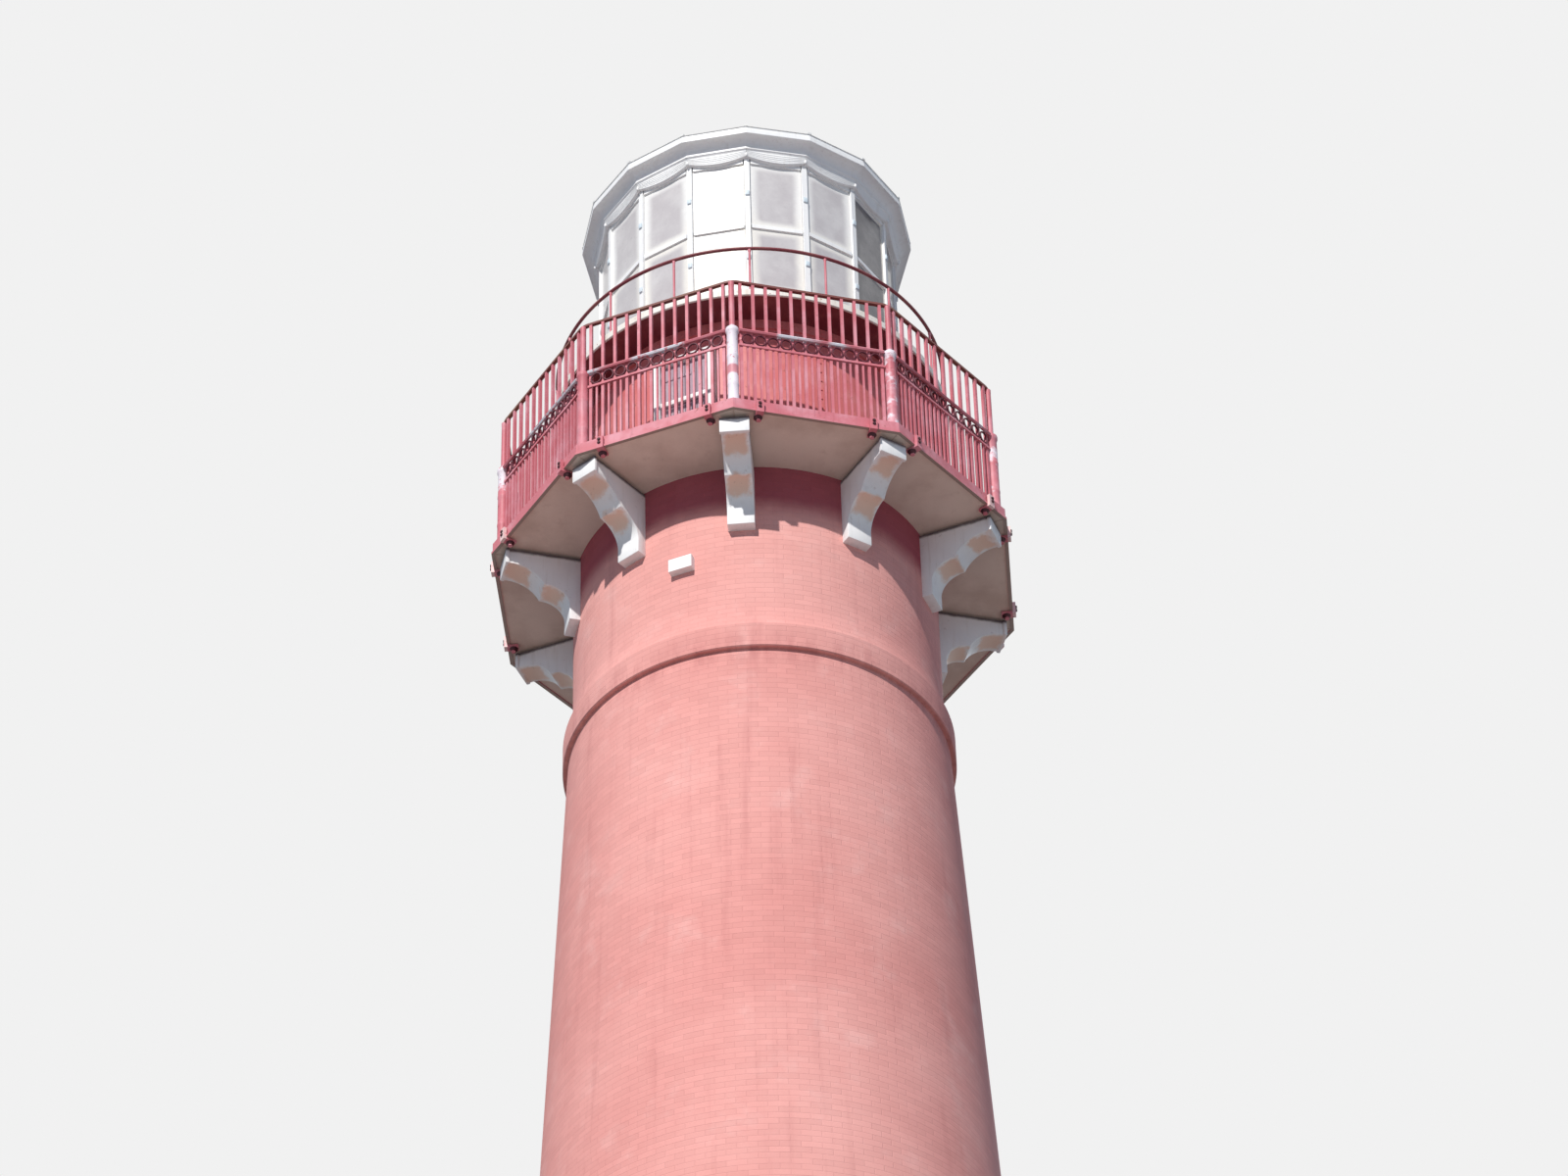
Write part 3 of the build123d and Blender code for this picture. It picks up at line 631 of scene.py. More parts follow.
@dataclass(frozen=True)
class Milk:
    """Old panes, grey in the middle with pale margins where a curtain hangs behind them, and painted dark as painted
    shade on the other sides.
    """

    count: int
    first: float
    half_width: float
    sills: tuple[float, ...]
    margin: float = 0.030
    # sides that have the curtain; the panes of the other sides get the painted shade
    curtained: Flat = (-5.0, 1.0)
    middle: Point = (0.52, 0.49, 0.50)
    warm: Point = (0.69, 0.62, 0.53)
    # painted shade: the dark of the panes on the shaded sides
    empty: Point = (0.045, 0.043, 0.062)
    edge: Point = (0.84, 0.83, 0.81)
    cream: Point = (0.84, 0.76, 0.60)
    roughness: float = 0.24

    def make(self) -> Material:
        """Return the material."""
        finish = Finish("milky pane")
        side, along, _, level = finish.sides(self.count, self.first)
        own = finish.chance(side, 3.0)
        clouds = finish.noise(5.0, 4.0)
        grime = finish.noise(60.0, 5.0, shift=2.0)
        ripple = finish.noise(7.0, 1.0, shift=5.0)
        first, last = self.curtained
        curtain = side.near((first + last) / 2, (last - first) / 2 + 0.3, 0.4)
        margin = (curtain * 0.65 + 0.35) * self.margin
        wavy = (clouds - 0.5) * 0.05 * (curtain * 0.7 + 0.3)
        inside = (self.half_width - abs(along) + wavy).rise(margin * 0.4, margin * 2.2)
        for sill in self.sills:
            inside = inside * (abs(level - sill) + wavy).rise(margin * 0.4, margin * 2.2)
        lower = 1.0 - level.rise(self.sills[1] - 0.05, self.sills[1] + 0.25)
        cream = (along.rise(0.02, self.half_width) * own.rise(0.4, 0.6) * 0.6).most(lower * 0.25)
        behind = finish.layers(
            self.middle,
            (own.rise(0.45, 0.9) * 0.5 + lower * own.rise(0.5, 0.6) * 0.5, self.warm),
            (clouds.rise(0.35, 0.75) * 0.35, self.edge),
            # painted shade: the panes without the curtain, painted dark for the shaded side of the lantern
            ((1.0 - curtain) * (1.0 - clouds.rise(0.3, 0.8) * 0.25), self.empty),
        )
        colour = finish.layers(self.edge, (cream, self.cream), (inside, behind))
        relief = ripple * 0.0006 + grime * 0.00006
        return finish.dress(colour, self.roughness + grime * 0.1, relief, grime * 0.1 + 0.94, coat=0.4)


@dataclass(frozen=True)
class Boards:
    """Painted boards of a door."""

    azimuth: float
    board: float = 0.075
    base: Point = (0.40, 0.30, 0.36)
    worn: Point = (0.55, 0.46, 0.50)
    groove: Point = (0.14, 0.09, 0.11)

    def make(self) -> Material:
        """Return the material."""
        finish = Finish("door boards")
        x, y, _ = finish.axes()
        right = sideways(self.azimuth)
        gap = 1.0 - ((x * right.x + y * right.y) / self.board).to_joint(self.board).rise(0.001, 0.004)
        fibres = finish.noise(60.0, 5.0, (1, 1, 0.06))
        clouds = finish.noise(6.0, 4.0)
        colour = finish.layers(
            self.base,
            (clouds.rise(0.4, 0.7) * 0.6, self.worn),
            (fibres.rise(0.6, 0.8) * 0.3, self.groove),
            (gap * 0.8, self.groove),
        )
        return finish.dress(colour, 0.45 + fibres * 0.2, fibres * 0.0005 - gap * 0.003)


@dataclass(frozen=True)
class Stone:
    """Plain worn floor of square stones."""

    stone: float = 0.45
    light: Point = (0.46, 0.44, 0.41)
    dark: Point = (0.24, 0.23, 0.22)

    def make(self) -> Material:
        """Return the material."""
        finish = Finish("stone floor")
        across, along = (axis / self.stone for axis in finish.axes()[:2])
        joint = 1.0 - across.to_joint(self.stone).least(along.to_joint(self.stone)).rise(0.001, 0.006)
        own = finish.chance(across.floor(), along.floor())
        grain = finish.noise(50.0, 6.0)
        colour = finish.layers(self.light, (own * 0.5 + grain * 0.4, self.dark), (joint * 0.7, self.dark))
        return finish.dress(colour, 0.7 + grain * 0.2, grain * 0.001 - joint * 0.003)


@dataclass(frozen=True)
class Metal:
    """Weathered bare metal of the rod."""

    base: Point = (0.42, 0.40, 0.38)
    dull: Point = (0.22, 0.19, 0.17)

    def make(self) -> Material:
        """Return the material."""
        finish = Finish("weathered metal")
        clouds = finish.noise(24.0, 5.0, (1, 1, 0.3))
        colour = finish.layers(self.base, (clouds.rise(0.4, 0.7), self.dull))
        return finish.dress(colour, 0.38 + clouds * 0.3, clouds * 0.0004, metallic=0.9)


def smooth(mesh: bpy.types.Mesh, crease: float = CREASE) -> bpy.types.Mesh:
    """Shade a mesh smooth, apart from edges that turn more than a crease in degrees."""
    mesh.shade_smooth()
    mesh.set_sharp_from_angle(angle=math.radians(crease))
    return mesh


def to_mesh(name: str, form: Form, crease: float = CREASE) -> bpy.types.Mesh:
    """Turn a form into a smooth-shaded mesh with faces that point outwards, and free the form.

    Args:
        name: Name of the mesh.
        form: The form.
        crease: Angle above which an edge stays sharp, in degrees.

    Returns:
        The mesh.
    """
    bmesh.ops.remove_doubles(form, verts=form.verts, dist=1e-6)
    bmesh.ops.recalc_face_normals(form, faces=form.faces)
    mesh = bpy.data.meshes.new(name)
    form.to_mesh(mesh)
    form.free()
    return smooth(mesh, crease)


def skin(form: Form, rows: Sequence[Sequence[bmesh.types.BMVert]], whole: bool = False, closed: bool = False) -> None:
    """Join rows of points with faces.

    Args:
        form: Form that the points are in.
        rows: The rows, all of one length.
        whole: Whether the last row is joined to the first.
        closed: Whether each row is a ring.
    """
    for k in range(len(rows) if whole else len(rows) - 1):
        here, there = rows[k], rows[(k + 1) % len(rows)]
        for j in range(len(here) if closed else len(here) - 1):
            after = (j + 1) % len(here)
            form.faces.new((here[j], here[after], there[after], there[j]))


def lathe(outline: Outline, segments: int, start: float = 0.0, span: float = 360.0) -> Form:
    """Turn a closed outline about the axis.

    Args:
        outline: Corners as distance from the axis and level.
        segments: Steps round the turn.
        start: Azimuth at which the turn starts, in degrees.
        span: Size of the turn, in degrees; under 360 its two ends are closed.

    Returns:
        The form.
    """
    form = bmesh.new()
    whole = span >= 360.0
    columns = []
    for k in range(segments if whole else segments + 1):
        away = outward(start + span * k / segments)
        columns.append([form.verts.new(away * radius + Vector((0, 0, level))) for radius, level in outline])
    skin(form, columns, whole, closed=True)
    if not whole:
        form.faces.new(columns[0])
        form.faces.new(columns[-1])
    return form


def turned(outline: Outline, segments: int) -> Form:
    """Turn a small closed outline about an axis that points to -Y."""
    form = lathe(outline, segments)
    turn = Vector((0, 0, 1)).rotation_difference(Vector((0, -1, 0))).to_matrix().to_4x4()
    bmesh.ops.transform(form, matrix=turn, verts=form.verts)
    return form


def block(corners: Sequence[Point], depth: Vector, edge: float = 0.0) -> Form:
    """Push a flat outline along a direction.

    Args:
        corners: The outline in space.
        depth: How far and where to.
        edge: Width of the rounding of its sharp edges.

    Returns:
        The form.
    """
    form = bmesh.new()
    near = [form.verts.new(Vector(corner)) for corner in corners]
    far = [form.verts.new(Vector(corner) + depth) for corner in corners]
    form.faces.new(near)
    form.faces.new(far)
    skin(form, (near, far), closed=True)
    if edge:
        bmesh.ops.recalc_face_normals(form, faces=form.faces)
        sharp = [side for side in form.edges if side.calc_face_angle(0.0) > math.radians(40)]
        bmesh.ops.bevel(form, geom=sharp, offset=edge, segments=2, profile=0.5, affect="EDGES", clamp_overlap=True)
    return form


def upright(half: float, near: float, far: float, bottom: float, top: float, edge: float = 0.0) -> Form:
    """Make a block across the -Y axis, from one distance from the origin to another and between two levels."""
    corners = [(-half, -near, bottom), (-half, -far, bottom), (-half, -far, top), (-half, -near, top)]
    return block(corners, Vector((2 * half, 0, 0)), edge)


def join(forms: Sequence[Form]) -> Form:
    """Put several forms into the first one.

    Args:
        forms: The forms; all but the first are freed.

    Returns:
        The first form, with all of them in it.
    """
    whole = forms[0]
    for form in forms[1:]:
        spare = bpy.data.meshes.new("spare")
        form.to_mesh(spare)
        form.free()
        whole.from_mesh(spare)
        bpy.data.meshes.remove(spare)
    return whole


def arc(start: Flat, end: Flat, bulge: float, steps: int) -> list[Flat]:
    """Return points along a bow between two points, both included.

    Args:
        start: First point.
        end: Last point.
        bulge: Height of the bow over its chord, to the left of it.
        steps: Number of stretches.

    Returns:
        The points.
    """
    chord = math.dist(start, end)
    half = 2 * math.atan2(2 * abs(bulge), chord)
    radius = chord / (2 * math.sin(half))
    ahead = ((end[0] - start[0]) / chord, (end[1] - start[1]) / chord)
    left = (-ahead[1], ahead[0])
    side = math.copysign(1.0, bulge)
    points = []
    for k in range(steps + 1):
        angle = half * (2 * k / steps - 1)
        forward = chord / 2 + radius * math.sin(angle)
        out = side * radius * (math.cos(angle) - math.cos(half))
        points.append(tuple(start[i] + ahead[i] * forward + left[i] * out for i in range(2)))
    return points


def raised(outline: Outline, level: float, radius: float = 0.0) -> list[Flat]:
    """Return an outline moved up to a level and out by a radius."""
    return [(out + radius, up + level) for out, up in outline]


def ring(width: float, height: float, thickness: float, segments: int = 20, facets: int = 6) -> Form:
    """Make an upright oval ring of round bar that faces -Y.

    Args:
        width: Width over all.
        height: Height over all.
        thickness: Diameter of the bar.
        segments: Steps round the ring.
        facets: Steps round the bar.

    Returns:
        The form.
    """
    form = bmesh.new()
    rows = []
    for k in range(segments):
        turn = 2 * math.pi * k / segments
        away = Vector((math.cos(turn), 0, math.sin(turn)))
        centre = Vector(((width - thickness) / 2 * away.x, 0, (height - thickness) / 2 * away.z))
        row = []
        for j in range(facets):
            tilt = 2 * math.pi * j / facets
            offset = away * math.cos(tilt) + Vector((0, -1, 0)) * math.sin(tilt)
            row.append(form.verts.new(centre + offset * thickness / 2))
        rows.append(row)
    skin(form, rows, whole=True, closed=True)
    return form


class Network(Graph):
    """A geometry node tree with named inputs, whose result becomes a plain mesh."""

    def __init__(self, name: str, **inputs: type) -> None:
        """Start a tree.

        Args:
            name: Its name.
            inputs: Name of each input and what it holds; an input for the finish comes on top.
        """
        super().__init__(bpy.data.node_groups.new(name, "GeometryNodeTree"))
        kinds = {int: "Int", float: "Float", bpy.types.Object: "Object", Material: "Material"}
        for label, held in {**inputs, "finish": Material}.items():
            self.tree.interface.new_socket(label, in_out="INPUT", socket_type="NodeSocket" + kinds[held])
        self.tree.interface.new_socket("Geometry", in_out="OUTPUT", socket_type="NodeSocketGeometry")
        group = self.tree.nodes.new("NodeGroupInput")
        self.given = {label: Value(self, group.outputs[label]) for label in (*inputs, "finish")}

    def close(self, shape: bpy.types.NodeSocket) -> None:
        """Realize the shape, give it its finish and lead it out."""
        real = self.out("GeometryNodeRealizeInstances", None, {0: shape})
        feeds = {"Geometry": real, "Material": self.given["finish"]}
        self.node("NodeGroupOutput", None, {0: self.out("GeometryNodeSetMaterial", None, feeds)})

    def run(self, name: str, **values: Feed) -> bpy.types.Mesh:
        """Run the tree.

        Args:
            name: Name of the result.
            values: Value of each named input.

        Returns:
            The result as a plain mesh.
        """
        host = bpy.data.objects.new(name + " host", bpy.data.meshes.new(name + " start"))
        modifier = host.modifiers.new(name, "NODES")
        modifier.node_group = self.tree
        for item in self.tree.interface.items_tree:
            if item.in_out == "INPUT":
                modifier[item.identifier] = values[item.name]
        bpy.context.scene.collection.objects.link(host)
        graph = bpy.context.evaluated_depsgraph_get()
        mesh = bpy.data.meshes.new_from_object(host.evaluated_get(graph))
        mesh.name = name
        host.modifiers.remove(modifier)
        bpy.data.objects.remove(host)
        return mesh


@dataclass(frozen=True)
class Spread:
    """Places of copies, in rows on the sides of a polygon about the axis.

    Attributes:
        sides: Number of sides.
        azimuth: Azimuth of the middle of the first side, in degrees.
        distance: Distance of a side from the axis.
        level: Lowest level.
        per_side: Copies along a side.
        pitch: Distance between them.
        levels: Number of rows above each other.
        rise: Distance between those.
        shift: Distance that a side's row is moved along it.
    """

    sides: int
    azimuth: float
    distance: float = 0.0
    level: float = 0.0
    per_side: int = 1
    pitch: float = 0.0
    levels: int = 1
    rise: float = 0.0
    shift: float = 0.0


class Rows(Network):
    """Copies of one small unit, spread over the sides of a polygon about the axis."""

    def __init__(self) -> None:
        """Build the tree."""
        sizes = {item.name: item.type for item in fields(Spread)}
        super().__init__("rows on the sides", **sizes, unit=bpy.types.Object)
        given = self.given
        per_side, sides, distance = given["per_side"], given["sides"], given["distance"]
        index = Value(self, self.out("GeometryNodeInputIndex"))
        step = index % per_side
        side = (index / per_side).floor() % sides
        storey = (index / (per_side * sides)).floor()
        angle = given["azimuth"] + side / sides * (2 * math.pi)
        along = (step - (per_side - 1.0) * 0.5) * given["pitch"] + given["shift"]
        east = angle.sine() * distance + angle.cosine() * along
        north = angle.sine() * along - angle.cosine() * distance
        level = given["level"] + storey * given["rise"]
        place = self.out("ShaderNodeCombineXYZ", None, {0: east, 1: north, 2: level})
        feeds = {"Count": sides * per_side * given["levels"], "Position": place}
        points = self.out("GeometryNodePoints", None, feeds)
        spin = self.out("FunctionNodeEulerToRotation", None, {0: self.out("ShaderNodeCombineXYZ", None, {2: angle})})
        unit = self.out("GeometryNodeObjectInfo", None, {"Object": given["unit"]}, "Geometry")
        feeds = {"Points": points, "Instance": unit, "Rotation": spin}
        self.close(self.out("GeometryNodeInstanceOnPoints", None, feeds))

    def lay(self, name: str, unit: Form, finish: Material, spread: Spread, crease: float) -> bpy.types.Mesh:
        """Lay copies of a unit that is drawn at the origin and faces -Y.

        Args:
            name: Name of the mesh.
            unit: The form that is repeated.
            finish: Its material.
            spread: Where the copies go.
            crease: Angle above which an edge stays sharp, in degrees.

        Returns:
            The copies as one mesh.
        """
        model = bpy.data.objects.new(name + " unit", to_mesh(name + " unit", unit, crease))
        sizes = {**asdict(spread), "azimuth": math.radians(spread.azimuth)}
        mesh = self.run(name, **sizes, unit=model, finish=finish)
        bpy.data.objects.remove(model)
        return mesh


class Hoop(Network):
    """A level hoop of round bar about the axis."""

    def __init__(self) -> None:
        """Build the tree."""
        super().__init__("hoop", radius=float, level=float, bar=float, steps=int, facets=int)
        given = self.given
        feeds = {"Resolution": given["steps"], "Radius": given["radius"]}
        path = self.out("GeometryNodeCurvePrimitiveCircle", None, feeds)
        lift = self.out("ShaderNodeCombineXYZ", None, {2: given["level"]})
        raised_path = self.out("GeometryNodeSetPosition", None, {"Geometry": path, "Offset": lift})
        feeds = {"Resolution": given["facets"], "Radius": given["bar"] * 0.5}
        profile = self.out("GeometryNodeCurvePrimitiveCircle", None, feeds)
        self.close(self.out("GeometryNodeCurveToMesh", None, {0: raised_path, "Profile Curve": profile}))

    def bend(self, name: str, finish: Material, radius: float, level: float, bar: float) -> bpy.types.Mesh:
        """Bend a bar of a thickness to a radius at a level."""
        mesh = self.run(name, finish=finish, radius=radius, level=level, bar=bar, steps=160, facets=10)
        return smooth(mesh, 60.0)


@dataclass(frozen=True)
class Sizes:
    """Places that several sub-assemblies share, in metres and degrees."""

    gallery_sides: int = 10
    gallery_corner: float = -3.6
    lantern_sides: int = 16
    lantern_corner: float = 0.8
    door: float = -23.5
    wall_radius: float = 1.093

    @property
    def gallery_middle(self) -> float:
        """Return the azimuth of the middle of a side of the gallery."""
        return self.gallery_corner + 180.0 / self.gallery_sides

    @property
    def lantern_middle(self) -> float:
        """Return the azimuth of the middle of a side of the lantern."""
        return self.lantern_corner + 180.0 / self.lantern_sides

    @property
    def deck_low(self) -> float:
        """Return the level of the underside of the gallery."""
        return low("gallery_deck")

    @property
    def deck_top(self) -> float:
        """Return the level of the gallery floor."""
        return high("gallery_deck")

    @property
    def lantern_side(self) -> float:
        """Return the distance of a side of the lantern wall from the axis."""
        return face_of("lantern_wall", self.lantern_middle)

    @property
    def clamp_face(self) -> float:
        """Return the distance of the outer face of the deck clamps from the axis."""
        return face_of("edge_clamps", self.gallery_middle)


@dataclass
class Kit:
    """Materials and tools that the sub-assemblies share."""

    sizes: Sizes
    rows: Rows
    hoop: Hoop
    finishes: dict[str, Material]


@dataclass
class Assembly:
    """A group of pieces."""

    kit: Kit

    @property
    def sizes(self) -> Sizes:
        """Return the places that the groups share."""
        return self.kit.sizes

    def add(self, name: str, mesh: bpy.types.Mesh, paint: Paint, stands_for: Iterable[str] = ()) -> None:
        """Put a mesh that has its finish into the scene as a piece.

        Args:
            name: Name of the piece.
            mesh: The mesh, in place.
            paint: Not used.
            stands_for: CAD nodes that it replaces.
        """
        piece = bpy.data.objects.new(name, mesh)
        bpy.context.scene.collection.objects.link(piece)
        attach(piece, BODY)
        if stands_for:
            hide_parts(*stands_for)
        LOG.info("%s: %d faces", name, len(mesh.polygons))

    def single(
        self, name: str, form: Form, finish: str, paint: Paint, *stands_for: str, crease: float = CREASE
    ) -> None:
        """Make a piece of a form.

        Args:
            name: Name of the piece.
            form: The form, in place.
            finish: Name of its finish.
            paint: Slot name, handed on to add().
            stands_for: CAD nodes that it replaces.
            crease: Angle above which an edge stays sharp, in degrees.
        """
        mesh = to_mesh(name, form, crease)
        mesh.materials.append(self.kit.finishes[finish])
        self.add(name, mesh, paint, stands_for)

    def repeat(
        self, name: str, unit: Form, finish: str, paint: Paint, spread: Spread, *stands_for: str,
        crease: float = CREASE,
    ) -> None:
        """Make a piece of copies of a unit that is drawn at the origin and faces -Y.

        Args:
            name: Name of the piece.
            unit: The form that is repeated.
            finish: Name of its finish.
            paint: Slot name, handed on to add().
            spread: Where the copies go.
            stands_for: CAD nodes that it replaces.
            crease: Angle above which an edge stays sharp, in degrees.
        """
        mesh = self.kit.rows.lay(name, unit, self.kit.finishes[finish], spread, crease)
        self.add(name, mesh, paint, stands_for)


@dataclass
class Shaft(Assembly):
    """The round tapered wall, with its belt course, its base step and the entrance."""

    sectors: int = 7
    segments: int = 192
    flare_steps: int = 14
    crease: float = 20.0
    base_step: float = 0.045
    step_height: float = 0.42
    belt_drop: float = 1.443
    band_height: float = 0.17
    flare_height: float = 0.29
    belt_depth: float = 0.058
    belt_radius: float = 1.121
    foot_radius: float = 2.135
    foot_hollow: float = 1.445
    top_hollow: float = 0.863
    arris: float = 0.006
    door_width: float = 0.56
    door_height: float = 1.18

    @property
    def belt_level(self) -> float:
        """Return the level of the lower edge of the belt."""
        return self.sizes.deck_low - self.belt_drop

    @property
    def taper(self) -> float:
        """Return how much the shaft narrows for each metre of height."""
        return (self.foot_radius - self.belt_radius) / self.belt_level

    def outline(self) -> list[Flat]:
        """Draw the section of the wall.

        Returns:
            Its corners, as distance from the axis and level.
        """
        top = self.sizes.deck_low
        step = self.foot_radius - self.taper * self.step_height
        belt = self.sizes.wall_radius + self.belt_depth
        band = self.belt_level + self.band_height
        points = [
            (self.foot_hollow, 0.0),
            (self.foot_radius + self.base_step, 0.0),
            (step + self.base_step, self.step_height - self.base_step),
            (step, self.step_height),
            (self.belt_radius, self.belt_level),
            (belt - self.arris, self.belt_level),
            (belt, self.belt_level + self.arris),
            (belt, band),
        ]
        for k in range(1, self.flare_steps + 1):
            turn = math.pi / 2 * k / self.flare_steps
            points.append((belt - self.belt_depth * math.sin(turn), band + self.flare_height * (1 - math.cos(turn))))
        return points + [(self.sizes.wall_radius, top), (self.top_hollow, top)]

    def build(self) -> None:
        """Make the wall and cut the entrance through it."""
        away = outward(self.sizes.door)
        half = sideways(self.sizes.door) * (self.door_width / 2)
        start = away * (self.foot_hollow / 2) - Vector((0, 0, self.door_height / 2))
        up = Vector((0, 0, self.door_height * 1.5))
        doorway = block([start - half, start + half, start + half + up, start - half + up], away * self.foot_radius)
        wall = lathe(self.outline(), self.segments)
        body = bpy.data.objects.new("shaft body", to_mesh("shaft body", wall, self.crease))
        tool = bpy.data.objects.new("doorway", to_mesh("doorway", doorway))
        for part in (body, tool):
            bpy.context.scene.collection.objects.link(part)
        cut = body.modifiers.new("doorway", "BOOLEAN")
        cut.operation = "DIFFERENCE"
        cut.solver = "EXACT"
        cut.object = tool
        graph = bpy.context.evaluated_depsgraph_get()
        opened = bpy.data.meshes.new_from_object(body.evaluated_get(graph))
        bpy.data.objects.remove(body)
        bpy.data.objects.remove(tool)
        opened.materials.append(self.kit.finishes["masonry"])
        nodes = ["shaft_wall_%d" % k for k in range(1, self.sectors + 1)]
        nodes += ["shaft_wall_beside_door", "shaft_wall_over_door"]
        self.add("round_shaft", smooth(opened, self.crease), Paint.MASONRY, nodes)


@dataclass
class Gallery(Assembly):
    """Brackets, fence posts, frieze and the fittings of the deck's edge."""

    bracket_width: float = 0.16
    bracket_edge: float = 0.0035
    nose_width: float = 0.176
    nose_depth: float = 0.022
    nose_height: float = 0.132
    nose_radius: float = 1.544
    nose_proud: float = 0.001
    nose_edge: float = 0.004
    cusp_radius: float = 1.296
    cusp_drop: float = 0.258
    cusp_flat: float = 0.014
    foot_depth: float = 0.062
    foot_drop: float = 0.42
    foot_height: float = 0.082
    wall_bite: float = 0.004
    cove_depth: float = 0.046
    cove_steps: int = 18
    # where the patches of painted reflection sit along the two coves
    worn_shares: Flat = (0.30, 0.28)
    worn_inset: float = 0.0253
    bearing_height: float = 0.017
    bearing_width: float = 0.07
    post_foot: Outline = ((0.0, 0.0), (0.041, 0.0), (0.041, 0.010), (0.037, 0.018), (0.0335, 0.024))
    post_bead: Outline = ((0.0330, -0.016), (0.0350, -0.008), (0.0350, 0.008), (0.0330, 0.016))
    bead_places: Flat = (-0.13, 0.10)
    post_collar: Outline = (
        (0.0330, -0.026), (0.0385, -0.015), (0.0400, -0.006), (0.0400, 0.006), (0.0385, 0.015),
        (0.026, 0.024), (0.0175, 0.034),
    )
    post_head: Outline = ((0.0170, -0.03), (0.0180, -0.022), (0.0180, 0.0), (0.0, 0.0))
    strap_rise: float = 0.57
    strap_offset: float = 0.0135
    handrail_rise: float = 0.674
    handrail_bar: float = 0.024
    bars: int = 12
    bar_pitch: float = 0.07767
    bar_collar: Outline = ((0.0, -0.011), (0.0125, -0.011), (0.0145, 0.0), (0.0125, 0.011), (0.0, 0.011))
    ring_bar: float = 0.0125
    ring_gap: float = 0.001
    clamp_offset: float = 0.158
    clamp_thickness: float = 0.018
    nut_inset: float = 0.040
    nut_foot: Outline = ((0.0, 0.002), (0.014, 0.002), (0.017, 0.006))
    nut_radius: float = 0.027
    bolt: Outline = ((0.0, 0.0), (0.011, 0.0), (0.011, 0.005), (0.008, 0.008), (0.0, 0.009))
    bolt_level: float = 0.040
    bolt_rise: float = 0.026

    @property
    def fence_corner(self) -> float:
        """Return the distance of a post from the axis."""
        return sum(spans("fence_posts")) / 2

    @property
    def foot_radius(self) -> float:
        """Return the distance of the face of a bracket's foot from the axis."""
        return self.sizes.wall_radius + self.foot_depth

    def build(self) -> None:
        """Make all pieces of the gallery."""
        self.brackets()
        self.posts()
        self.frieze()
        self.clamps()

    def corners(self, distance: float = 0.0) -> Spread:
        """Return one place at each corner of the gallery."""
        return Spread(self.sizes.gallery_sides, self.sizes.gallery_corner, distance)

    def cove_centres(self) -> tuple[Flat, ...]:
        """Find the middles of the patches of painted reflection in the two coves.

        Returns:
            The middles, as distance from the axis and level.
        """
        turns = (
            (self.nose_radius, self.nose_height), (self.cusp_radius, self.cusp_drop), (self.foot_radius, self.foot_drop)
        )
        inset = self.worn_inset
        centres = []
        for (out, high_drop), (inner, low_drop), share in zip(turns, turns[1:], self.worn_shares):
            drop = high_drop + (low_drop - high_drop) * share
            centres.append((out + (inner - out) * share - inset * 0.5, self.sizes.deck_low - drop + inset))
        return tuple(centres)

    def brackets(self) -> None:
        """Make the scalloped brackets with softened edges."""
        deck = self.sizes.deck_low
        top = deck - self.bearing_height
        foot = deck - self.foot_drop
        back = self.sizes.wall_radius - self.wall_bite
        nose = deck - self.nose_height
        cusp = deck - self.cusp_drop
        outline = [(back, top), (self.nose_radius, top)]
        for start, end in (
            ((self.nose_radius, nose), (self.cusp_radius + self.cusp_flat, cusp)),
            ((self.cusp_radius, cusp), (self.foot_radius, foot)),
        ):
            outline += arc(start, end, -self.cove_depth, self.cove_steps)
        outline += [(self.foot_radius, foot - self.foot_height), (back, foot - self.foot_height)]
        corners = [(-self.bracket_width / 2, -radius, level) for radius, level in outline]
        inner = self.nose_radius - self.nose_depth
        proud = self.nose_proud
        unit = join([
            block(corners, Vector((self.bracket_width, 0, 0)), self.bracket_edge),
            upright(self.nose_width / 2, inner, self.nose_radius + proud, nose, top, self.nose_edge),
            upright(self.bearing_width / 2, back, inner, top - proud, deck),
        ])
        self.repeat("scalloped_brackets", unit, "bracket", Paint.WHITE_IRON, self.corners(), "gallery_brackets")

    def posts(self) -> None:
        """Make the turned posts, thick up to the handrail and thin above it."""
        foot = self.sizes.deck_top
        rail = self.sizes.deck_low + self.handrail_rise
        outline = raised(self.post_foot, foot)
        for place in self.bead_places:
            outline += raised(self.post_bead, (foot + rail) / 2 + place)
        outline += raised(self.post_collar, rail) + raised(self.post_head, high("fence_posts"))
        spread = self.corners(self.fence_corner)
        self.repeat("turned_posts", lathe(outline, 24), "post", Paint.RED, spread, "fence_posts")

    def frieze(self) -> None:
        """Make the rings between the strap and the handrail, and the collars of the bars between them."""
        bottom = self.sizes.deck_low + self.strap_rise
        top = self.sizes.deck_low + self.handrail_rise - self.handrail_bar / 2
        side = self.fence_corner * math.cos(math.pi / self.sizes.gallery_sides)
        unit = ring(self.bar_pitch - self.ring_gap, top - bottom - self.ring_gap, self.ring_bar)
        for name, form, finish, paint, distance, count, crease in (
            ("ring_frieze", unit, "ring", Paint.DARK_RED, side + self.strap_offset, self.bars - 1, 60.0),
            ("bar_collars", lathe(self.bar_collar, 8), "railing", Paint.RED, side, self.bars, CREASE),
        ):
            spread = Spread(
                self.sizes.gallery_sides, self.sizes.gallery_middle, distance, (bottom + top) / 2, count, self.bar_pitch
            )
            self.repeat(name, form, finish, paint, spread, crease=crease)

